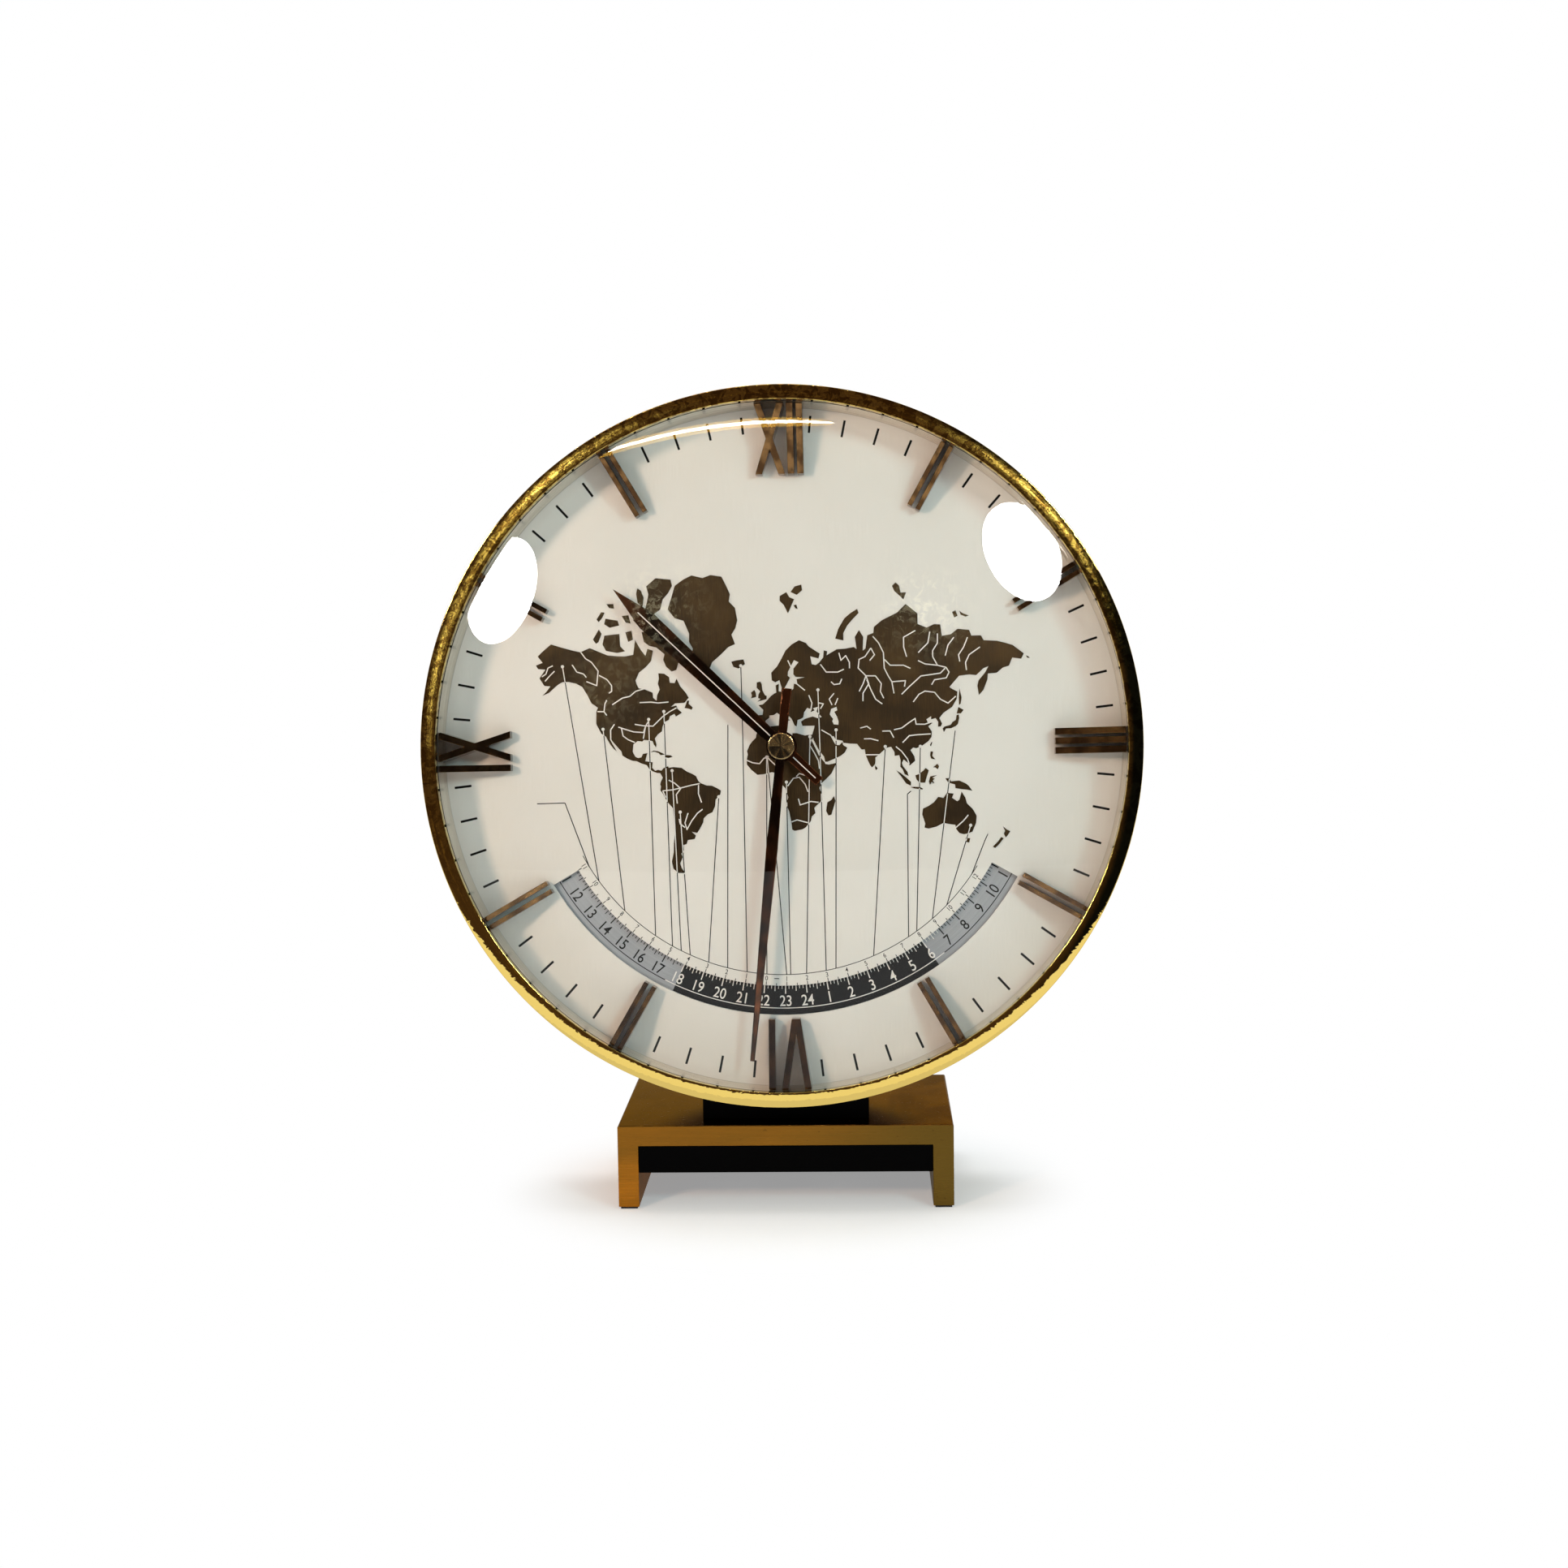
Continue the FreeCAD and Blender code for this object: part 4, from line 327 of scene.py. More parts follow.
# Hour at a place on the ring: the first hour plus a fifth of the degrees from its place, against the clock
def ringPlastic():
    web = newWeb("ring_plastic")
    spot = web.dialPlace(printTurn)
    turn = web.make("ShaderNodeMath", {"operation": "ARCTAN2"},
                    {0: web.part(spot, 0) * -1, 1: web.part(spot, 1) * -1}) * (180 / math.pi)
    hour = (ringLook["firstPlace"] - turn) / 5 + (ringLook["firstHour"] + 24 * 4)
    clock = web.make("ShaderNodeMath", {"operation": "MODULO"}, {0: hour, 1: 24.0})
    noonward = web.make("ShaderNodeMath", {"operation": "ABSOLUTE"}, {0: clock - 12})
    day = web.ramp(noonward, 6.01, 5.99)
    lines = web.rings(web.radius(spot), 2.2, 3)
    cloud = web.noise(spot, 0.08, 2)
    silver = web.mix(web.ramp(lines * 0.6 + cloud * 0.4, 0.35, 0.65),
                     [c * 0.82 for c in ringLook["day"]], ringLook["day"])
    return web.surface({
        "Base Color": web.mix(day, ringLook["night"], silver),
        "Metallic": day * 0.3, "Specular IOR Level": 0.12,
        "Roughness": web.ramp(lines, 0.3, 0.7, 0.36, 0.46), "Normal": web.bump(lines, 0.006)})


# cap is the colour of the hub cap's painted highlights, capDark the cap's own colour
handLook = {"colour": (0.22, 0.085, 0.04), "dark": (0.03, 0.018, 0.013), "cap": (0.4, 0.3, 0.15),
            "capDark": (0.06, 0.045, 0.028), "roughness": 0.1}


def handBronze():
    web = newWeb("hand_bronze")
    spot = web.dialPlace()
    radius = web.radius(spot)
    cap = web.ramp(radius, 5, 4.6)
    lines = web.noise(web.stretched(spot, (1.5, 0.3, 1)), 1, 3)
    spinning = web.rings(radius, 5)
    cloud = web.noise(spot, 0.07, 2)
    tone = web.ramp(cloud * 0.9 + lines * 0.1, 0.42, 0.62)
    flat = web.stretched(spot, (1, 1, 0))
    compass = web.make("ShaderNodeVectorMath", {"operation": "NORMALIZE"}, {0: flat})
    # Painted highlights on the cap: bright wedges at angles set by noise stand in for reflections in its spun
    # face, and a bright ring near its edge for a highlight on its rim
    capGlints = web.ramp(web.noise(compass, 1.3, 2), 0.46, 0.58) + web.ramp(radius, 4.25, 4.4) * 0.6
    turned = web.mix(capGlints, handLook["capDark"], handLook["cap"])
    return web.surface({
        "Base Color": web.mix(cap, web.mix(tone, handLook["dark"], handLook["colour"]), turned),
        "Metallic": 1.0, "Normal": web.bump(lines * 0.2 + spinning * cap * 2, 0.004),
        "Roughness": cap * 0.08 + web.ramp(
            lines, 0.3, 0.7, handLook["roughness"], handLook["roughness"] * 1.6)})


# The dome mirrors on its outer side, little head on and more to the edge, by the fifth power of facing
def crystalGlass():
    web = newWeb("crystal_glass")
    facing = web.make("ShaderNodeLayerWeight", {}, {}, 1)
    outside = 1 - web.make("ShaderNodeNewGeometry", {}, {}, "Backfacing")
    share = (facing ** 5 * 0.96 + 0.02) * outside
    clear = web.make("ShaderNodeBsdfTransparent", {}, {"Color": (0.99, 0.99, 0.985)})
    mirror = web.make("ShaderNodeBsdfPrincipled", {}, {
        "Base Color": (1, 1, 1), "Metallic": 1.0, "Roughness": 0.0})
    both = web.make("ShaderNodeMixShader", {}, {0: share, 1: clear, 2: mirror})
    web.make("ShaderNodeOutputMaterial", {}, {"Surface": both})
    return web.owner


def wrapPrint():
    web = newWeb("cell_wrap")
    spot = web.place()
    across = web.part(spot, 0)
    collar = web.ramp(across, 12, 12.2)
    scuff = web.noise(spot, 0.5, 3)
    colour = web.mix(collar, (0.02, 0.022, 0.025), (0.6, 0.36, 0.12))
    return web.surface({
        "Base Color": web.mix(web.ramp(scuff, 0.6, 0.8) * 0.3, colour, (0.3, 0.3, 0.3)),
        "Metallic": collar * 0.8, "Roughness": web.ramp(scuff, 0.3, 0.7, 0.22, 0.36)})


def wound():
    web = newWeb("copper_wire")
    turns = web.make("ShaderNodeTexWave", {"bands_direction": "X"}, {"Vector": web.place(), "Scale": 1.4})
    return web.surface({
        "Base Color": web.mix(turns, (0.28, 0.09, 0.03), (0.72, 0.3, 0.14)), "Metallic": 1.0,
        "Roughness": 0.32, "Normal": web.bump(turns, 0.08)})


def boardCoat():
    web = newWeb("board")
    spot = web.place()
    tracks = web.make("ShaderNodeTexBrick", {}, {
        "Vector": spot, "Color1": (0.02, 0.12, 0.05), "Color2": (0.024, 0.14, 0.06),
        "Mortar": (0.05, 0.24, 0.1), "Scale": 0.4, "Mortar Size": 0.03})
    return web.surface({
        "Base Color": tracks, "Roughness": web.ramp(web.noise(spot, 1, 2), 0.3, 0.7, 0.3, 0.45)})


print("materials")
looks = {
    "brushed_brass": standBrass(),
    "black_plastic": moulded("black_plastic", (0.0008, 0.0007, 0.0007), 0.4, 0.01, 0.15,
                             {"Specular IOR Level": 0.02}),
    "pad_rubber": moulded("pad_rubber", (0.012, 0.012, 0.012), 0.8, 0.05),
    "steel": brushed("steel", (0.6, 0.6, 0.6), (0.35, 0.35, 0.36), (1.2, 1.2, 0.1), 0.3),
    "case_brass": turnedMetal("case_brass", (0.5, 0.33, 0.1), (0.4, 0.255, 0.074), 0.24, 0.005, 1.6),
    "polished_brass": bezelBrass(),
    "crystal_glass": crystalGlass(),
    "gasket_rubber": moulded("gasket_rubber", (0.02, 0.019, 0.018), 0.7, 0.03),
    "wall_metal": wallMetal(),
    "cover_plastic": moulded("cover_plastic", (0.03, 0.028, 0.027), 0.5, 0.06),
    "dial_paint": dialPaint(),
    "map_bronze": mapBronze(),
    "marker_brass": markerBrass(),
    "ring_plastic": ringPlastic(),
    "gear_plastic": moulded("gear_plastic", (0.75, 0.72, 0.64), 0.4, 0.01),
    "turned_brass": turnedMetal("turned_brass", (0.72, 0.52, 0.2), (0.5, 0.33, 0.1), 0.2),
    "plate_metal": brushed("plate_metal", (0.62, 0.61, 0.58), (0.4, 0.39, 0.37), (0.04, 2, 2), 0.35),
    "hand_bronze": handBronze(),
    "knob_plastic": moulded("knob_plastic", (0.02, 0.02, 0.021), 0.38, 0.02),
    "magnet": moulded("magnet", (0.08, 0.08, 0.085), 0.35, 0.01, 0.3, {"Metallic": 0.7}),
    "copper_wire": wound(),
    "movement_plastic": moulded("movement_plastic", (0.025, 0.026, 0.029), 0.42, 0.03),
    "board": boardCoat(),
    "cell_wrap": wrapPrint(),
}
inks = {
    "black": moulded("black_ink", (0.006, 0.005, 0.005), 0.5, 0.004, 0.3, {"Specular IOR Level": 0.1}),
    "white": moulded("white_ink", (0.88, 0.86, 0.82), 0.5, 0.004, 0.08, {"Specular IOR Level": 0.2}),
}

# Which finish each CAD node takes
finishes = {
    "brushed_brass": "stand_bridge",
    "black_plastic": "stand_core neck_block",
    "pad_rubber": "foot_pads",
    "steel": "case_bolts case_nuts saddle_plate back_cover_screws idler_clips plate_screws setting_stem "
             "stator movement_screws quartz_can battery_contacts",
    "case_brass": "case_shell",
    "polished_brass": "bezel_ring",
    "crystal_glass": "crystal",
    "gasket_rubber": "crystal_gasket",
    "wall_metal": "wall_ring",
    "cover_plastic": "back_cover battery_door",
    "dial_paint": "dial_plate",
    "map_bronze": "world_map",
    "marker_brass": "numeral_twelve numeral_three numeral_six numeral_nine hour_bars",
    "ring_plastic": "hour_ring",
    "gear_plastic": "idler_inner idler_outer hour_wheel ring_drive_gear minute_wheel centre_wheel "
                    "third_wheel seconds_wheel reduction_wheel",
    "turned_brass": "idler_studs ring_guides dial_pillars minute_arbor centre_nut",
    "plate_metal": "mounting_plate",
    "hand_bronze": "hour_hand minute_hand hub_cap",
    "knob_plastic": "setting_knob",
    "magnet": "rotor",
    "copper_wire": "coil",
    "movement_plastic": "movement_front movement_back train_bridge",
    "board": "circuit_board",
    "cell_wrap": "battery",
}
for slotName, names in finishes.items():
    for name in names.split():
        if nodes[name].material_slots:
            nodes[name].material_slots[0].material = looks[slotName]
        else:
            nodes[name].data.materials.append(looks[slotName])


# Pieces
def piece(name, mesh, body, material):
    mesh.materials.clear()
    mesh.materials.append(material)
    mesh.polygons.foreach_set("use_smooth", np.ones(len(mesh.polygons), bool))
    mesh.set_sharp_from_angle(angle=math.radians(30))
    made = bpy.data.objects.new(name, mesh)
    scene.collection.objects.link(made)
    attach(made, body)
    return made


def cleaned(mesh, flatten=False):
    work = bmesh.new()
    work.from_mesh(mesh)
    bmesh.ops.remove_doubles(work, verts=work.verts, dist=2e-6)
    if flatten:
        bmesh.ops.dissolve_limit(work, angle_limit=math.radians(0.5), verts=work.verts, edges=work.edges)
    bmesh.ops.recalc_face_normals(work, faces=work.faces)
    work.to_mesh(mesh)
    work.free()
    return mesh


# A turned form: x is the profile's radius times the cosine of the angle, y times its sine, z its height
def lathe(name, profile, node, slotName, count=360, closed=True, body="case"):
    profile = np.array(profile, float)
    angles = np.linspace(0, 2 * np.pi, count, endpoint=False)
    radius, height = profile[:, :1], profile[:, 1:]
    grid = np.stack([radius * np.cos(angles), radius * np.sin(angles), height + 0 * angles], -1)
    rows = np.arange(len(profile) if closed else len(profile) - 1)[:, None]
    after = (rows + 1) % len(profile)
    columns = np.arange(count)[None, :]
    beside = (columns + 1) % count
    quads = np.stack([rows * count + columns, rows * count + beside, after * count + beside,
                      after * count + columns], -1).reshape(-1, 4)
    mesh = bpy.data.meshes.new(name)
    mesh.from_pydata(toRow(grid.reshape(-1, 3)).tolist(), [], quads.tolist())
    made = piece(name, cleaned(mesh), body, looks[slotName])
    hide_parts(node)


# Each corner gives way to a short curve: a quadratic blend of the two points beside it and the corner
def rounded(corners, sizes, steps=5):
    corners = np.array(corners, float)
    share = np.linspace(0, 1, steps)[:, None]
    points = []
    for index, size in enumerate(sizes):
        here, before, following = corners[index], corners[index - 1], corners[(index + 1) % len(corners)]
        if not size:
            points.append(here[None])
            continue
        start = here + (before - here) / np.linalg.norm(before - here) * size
        end = here + (following - here) / np.linalg.norm(following - here) * size
        points.append((1 - share) ** 2 * start + 2 * share * (1 - share) * here + share ** 2 * end)
    return np.concatenate(points)


# A CAD node's copy with its edges softened
def softened(node, body, slotName, width):
    mesh = nodes[node].data.copy()
    if "custom_normal" in mesh.attributes:
        mesh.attributes.remove(mesh.attributes["custom_normal"])
    made = piece(node + "_fine", cleaned(mesh, True), body, looks[slotName])
    edges = made.modifiers.new("edges", "BEVEL")
    edges.width, edges.segments, edges.limit_method = width * mm, 2, "ANGLE"
    edges.angle_limit = math.radians(28)
    normals = made.modifiers.new("normals", "WEIGHTED_NORMAL")
    normals.keep_sharp = True
    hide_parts(node)


print("case")
bezelShape = {"inner": 124.7, "outer": 129.99, "face": 22.0, "lip": 18.7, "skirt": 8.0, "bore": 128.7,
              "rounding": (0, 0.3, 0.25, 0.3, 0, 0)}
b = bezelShape
bezelProfile = rounded([
    (b["inner"], b["lip"]), (b["inner"], b["face"]), (b["outer"], b["face"]), (b["outer"], b["skirt"]),
    (b["bore"], b["skirt"]), (b["bore"], b["lip"])], b["rounding"])
lathe("bezel_fine", bezelProfile, "bezel_ring", "polished_brass", 480)
wallShape = {"inner": 125.0, "outer": 126.1, "height": 15.7}
w = wallShape
wallProfile = [(w["inner"], 0), (w["outer"], 0), (w["outer"], w["height"]), (w["inner"], w["height"])]
lathe("wall_fine", wallProfile, "wall_ring", "wall_metal")


# Dome height at a radius: the sphere's centre plus the root of its radius squared less that radius squared
def dome(radius, edge, foot, rise):
    sphere = (edge ** 2 + rise ** 2) / (2 * rise)
    return foot + rise - sphere + np.sqrt(sphere ** 2 - radius ** 2)


crystalShape = {"edge": 124.6, "lip": 18.7, "back": 16.2, "inner": 123.0, "flange": 126.1, "rise": 9.0}
c = crystalShape
outerRadii, innerRadii = np.linspace(0, c["edge"], 96), np.linspace(c["inner"], 0, 96)
crystalProfile = np.concatenate([
    np.stack([outerRadii, dome(outerRadii, c["edge"], c["lip"], c["rise"])], 1),
    [(c["flange"], c["lip"]), (c["flange"], c["back"])],
    np.stack([innerRadii, dome(innerRadii, c["inner"], c["back"], c["rise"])], 1)])
lathe("crystal_fine", crystalProfile, "crystal", "crystal_glass", 360, False)

# How wide each softened edge is
standEdges = {"stand_bridge": 0.3, "stand_core": 0.25, "neck_block": 0.3}
markerEdge = 0.12
handEdge = 0.06
for node, width in standEdges.items():
    softened(node, "case", "brushed_brass" if node == "stand_bridge" else "black_plastic", width)
for node in finishes["marker_brass"].split():
    softened(node, "case", "marker_brass", markerEdge)

print("hands")
softened("hour_hand", "hour_group", "hand_bronze", handEdge)
softened("minute_hand", "minute_group", "hand_bronze", handEdge)
# The cap's profile: radius and height of each corner, and how far its rounding reaches
hubShape = {"corners": ((0, 9.9), (4.9, 9.9), (4.9, 12.1), (4.45, 12.2), (2.2, 12.15), (0, 12.1)),
            "rounding": (0, 0.1, 0.15, 0.25, 0, 0)}
hubProfile = rounded(hubShape["corners"], hubShape["rounding"])
lathe("hub_fine", hubProfile, "hub_cap", "hand_bronze", 96, True, "minute_group")


# Flat prints: polygons in the dial's plane at one height, turned about the middle
def prints(name, polygons, height, ink, body, turn=printTurn):
    angle = math.radians(turn)
    flat = np.concatenate([np.asarray(p, float) for p in polygons])
    x = flat[:, 0] * math.cos(angle) - flat[:, 1] * math.sin(angle)
    y = flat[:, 0] * math.sin(angle) + flat[:, 1] * math.cos(angle)
    starts = np.cumsum([0] + [len(p) for p in polygons])
    mesh = bpy.data.meshes.new(name)
    mesh.from_pydata(toRow(np.stack([x, y, height + 0 * x], 1)).tolist(), [],
                     [list(range(a, b)) for a, b in zip(starts[:-1], starts[1:])])
    return piece(name, mesh, body, inks[ink])


def stroke(a, b, width):
    a, b = np.array(a, float), np.array(b, float)
    along = (b - a) / np.linalg.norm(b - a)
    side = np.array((-along[1], along[0])) * width / 2
    return np.array([a - side, b - side, b + side, a + side])


def route(points, width):
    return [stroke(a, b, width) for a, b in zip(points[:-1], points[1:])]


# A place at a radius and at degrees clockwise from six o'clock
def sixPlace(radius, degrees):
    angle = math.radians(degrees)
    return np.array((-radius * math.sin(angle), -radius * math.cos(angle)))


def arc(radius, start, end, width, count=120):
    return route([sixPlace(radius, d) for d in np.linspace(start, end, count)], width)


def dot(centre, radius):
    turns = np.linspace(0, 2 * np.pi, 12, endpoint=False)
    return np.stack([centre[0] + radius * np.cos(turns), centre[1] + radius * np.sin(turns)], 1)


glyphs = {}


def glyph(words):
    if words not in glyphs:
        curve = bpy.data.curves.new("figures", "FONT")
        curve.body, curve.align_x, curve.offset = words, "CENTER", 0.006
        holder = bpy.data.objects.new("figures", curve)
        mesh = bpy.data.meshes.new_from_object(holder)
        spots = np.empty(len(mesh.vertices) * 3)
        mesh.vertices.foreach_get("co", spots)
        spots = spots.reshape(-1, 3)[:, :2]
        spots = spots - (spots.max(0) + spots.min(0)) / 2
        spots = spots / (spots[:, 1].max() - spots[:, 1].min())
        glyphs[words] = [spots[list(face.vertices)] for face in mesh.polygons]
        bpy.data.objects.remove(holder)
        bpy.data.curves.remove(curve)
        bpy.data.meshes.remove(mesh)
    return glyphs[words]


# Figures whose heads point to the middle
def figures(words, radius, degrees, height):
    angle = math.radians(degrees)
    head = np.array((math.sin(angle), math.cos(angle)))
    across = np.array((math.cos(angle), -math.sin(angle)))
    centre = sixPlace(radius, degrees)
    return [centre + face[:, :1] * across * height * 0.85 + face[:, 1:] * head * height
            for face in glyph(words)]


print("prints")
# Heights of the inks over the dial, then radii, line widths and figure heights of each print
inkHeights = {"dial": 0.04, "map": 0.23, "ring": -2.35, "hand": 6.44}
dialMarks = {
    "minuteInner": 116.2, "minuteOuter": 122.5, "minuteWidth": 0.85,
    "arc": 84.1, "arcFrom": -57.5, "arcTo": 62.5, "arcWidth": 0.26, "zero": 5, "zoneStep": 5,
    "tickOuter": 88.1, "tick": 86.8, "halfTick": 87.3, "tickWidth": 0.28, "figures": 85.6, "figureHeight": 1.75,
    "dash": (3.1, 1.9), "dashWidth": 0.3, "lineWidth": 0.34, "spot": 0.6, "riverWidth": 0.42,
}
d = dialMarks
minuteTicks = [stroke(sixPlace(d["minuteInner"], 6 * m), sixPlace(d["minuteOuter"], 6 * m), d["minuteWidth"])
               for m in range(60) if m % 5]
scaleMarks = arc(d["arc"], d["arcFrom"], d["arcTo"], d["arcWidth"])
for half in range(-22, 25):
    place = d["zero"] - d["zoneStep"] / 2 * half
    end = d["halfTick"] if half % 2 else d["tick"]
    scaleMarks.append(stroke(sixPlace(d["tickOuter"], place), sixPlace(end, place), d["tickWidth"]))
for zone in range(-11, 13):
    scaleMarks += figures(str(abs(zone)), d["figures"], d["zero"] - d["zoneStep"] * zone, d["figureHeight"])
scaleMarks.append(stroke(*[sixPlace(d["figures"], place) for place in d["dash"]], d["dashWidth"]))
prints("minute_marks", minuteTicks, inkHeights["dial"], "black", "case")
prints("scale_marks", scaleMarks, inkHeights["dial"], "black", "case")

# The ring's prints: an hour each five degrees, with a tick each ten minutes
ringMarks = {
    "foot": 88.3, "hour": 91.4, "hourWidth": 0.42, "half": 90.4, "tick": 89.6, "tickWidth": 0.28,
    "figures": 94.0, "figureHeight": 4.0, "arc": 96.7, "arcWidth": 0.32,
}
r = ringMarks
dayMarks, nightMarks = [], []
for step in range(72):
    hour = (ringLook["firstHour"] - 1 + step) % 24 + 1
    place = ringLook["firstPlace"] - 5 * step
    marks = dayMarks if 6 < hour < 18 else nightMarks
    marks.append(stroke(sixPlace(r["foot"], place), sixPlace(r["hour"], place), r["hourWidth"]))
    for tick in range(1, 6):
        at = place - tick * 5 / 6
        end = r["half"] if tick == 3 else r["tick"]
        marks.append(stroke(sixPlace(r["foot"], at), sixPlace(end, at), r["tickWidth"]))
    marks += figures(str(hour), r["figures"], place, r["figureHeight"])
    marks += arc(r["arc"], place + 2.5, place - 2.5, r["arcWidth"], 6)
prints("day_figures", dayMarks, inkHeights["ring"], "black", "hour_ring")
prints("night_figures", nightMarks, inkHeights["ring"], "white", "hour_ring")

# The photograph's camera: its place, the dial's middle that it was fitted with and its film's width in
# millimetres, angles in degrees, and the picture's width in pixels
cameraLook = {"place": (28.3, -818.1, 228.3), "yaw": 1.97, "pitch": 5.36, "roll": -0.83, "lens": 50.5,
              "dial": (0, -8.99942, 166.15267), "film": 36, "picture": 1932}


def cameraWays(look):
    yaw, pitch, roll = (math.radians(look[k]) for k in ("yaw", "pitch", "roll"))
    forward = Vector((-math.sin(yaw) * math.cos(pitch), math.cos(yaw) * math.cos(pitch), -math.sin(pitch)))
    right = Vector((math.cos(yaw), math.sin(yaw), 0))
    up = right.cross(forward)
    side = right * math.cos(roll) + up * math.sin(roll)
    top = up * math.cos(roll) - right * math.sin(roll)
    return side, top, forward


# The two crops of the photograph that points were picked on: the picture column where each starts,
# their common first row, how many times they are enlarged, and the height of the map's face over the dial
pickLook = {"left": 650, "right": 930, "row": 690, "enlarged": 4.2, "height": 0.2}


# Where the camera's ray through each picked point meets the map's face, before the print is turned
def picked(crop, points):
    side, top, forward = (np.array(way) for way in cameraWays(cameraLook))
    middle = cameraLook["picture"] / 2
    reach = cameraLook["lens"] / cameraLook["film"] * cameraLook["picture"]
    eye = np.array(cameraLook["place"]) - cameraLook["dial"]
    angle = math.radians(printTurn)
    run = []
    for column, row in points:
        across = (pickLook[crop] + column / pickLook["enlarged"] - middle) / reach
        rise = (middle - pickLook["row"] - row / pickLook["enlarged"]) / reach
        ray = forward + across * side + rise * top
        spot = eye + ray * (pickLook["height"] - eye @ outWay) / (ray @ outWay)
        x, y = spot @ rightWay, spot @ upWay
        run.append((round(x * math.cos(angle) + y * math.sin(angle), 1),
                    round(y * math.cos(angle) - x * math.sin(angle), 1)))
    return run


# Lines from places on the map down to the scale: the crop, its picked points from the top, and the zone
zonePicks = {
    "tenWest": ("left", ((180, 553),), -10),
    "eightWest": ("left", ((390, 877),), -8),
    "sixWest": ("left", ((627, 825),), -6),
    "fiveWest": ("left", ((705, 785),), -5),
    "halfWest": ("left", ((748, 1090),), -4.5),
    "fourWest": ("left", ((790, 1305),), -4),
    "threeWest": ("left", ((990, 1225),), -3),
    "twoWest": ("left", ((1037, 845),), -2),
    "oneWest": ("left", ((1103, 548), (1113, 903)), -1),
    "zero": ("left", ((1238, 1020),), 0),
    "oneEast": ("right", ((64, 1020),), 1),
    "oneEastToo": ("right", ((164, 1150),), 1.2),
    "twoEast": ("right", ((285, 915),), 2),
    "threeEast": ("right", ((327, 672), (340, 1050)), 3),
    "halfEast": ("right", ((420, 880),), 3.5),
    "fiveEast": ("right", ((675, 965),), 5.5),
    "sevenEast": ("right", ((815, 1190), (790, 1212)), 7.5),
    "eightEast": ("right", ((857, 965),), 8),
    "nineEast": ("right", ((1038, 875),), 9),
    "tenEast": ("right", ((1117, 1372), (1085, 1480)), 10),
    "twelveEast": ("right", ((1210, 1410), (1190, 1455)), 12),
    "elevenWest": ("left", ((42, 1262), (193, 1258), (320, 1590)), -11),
}
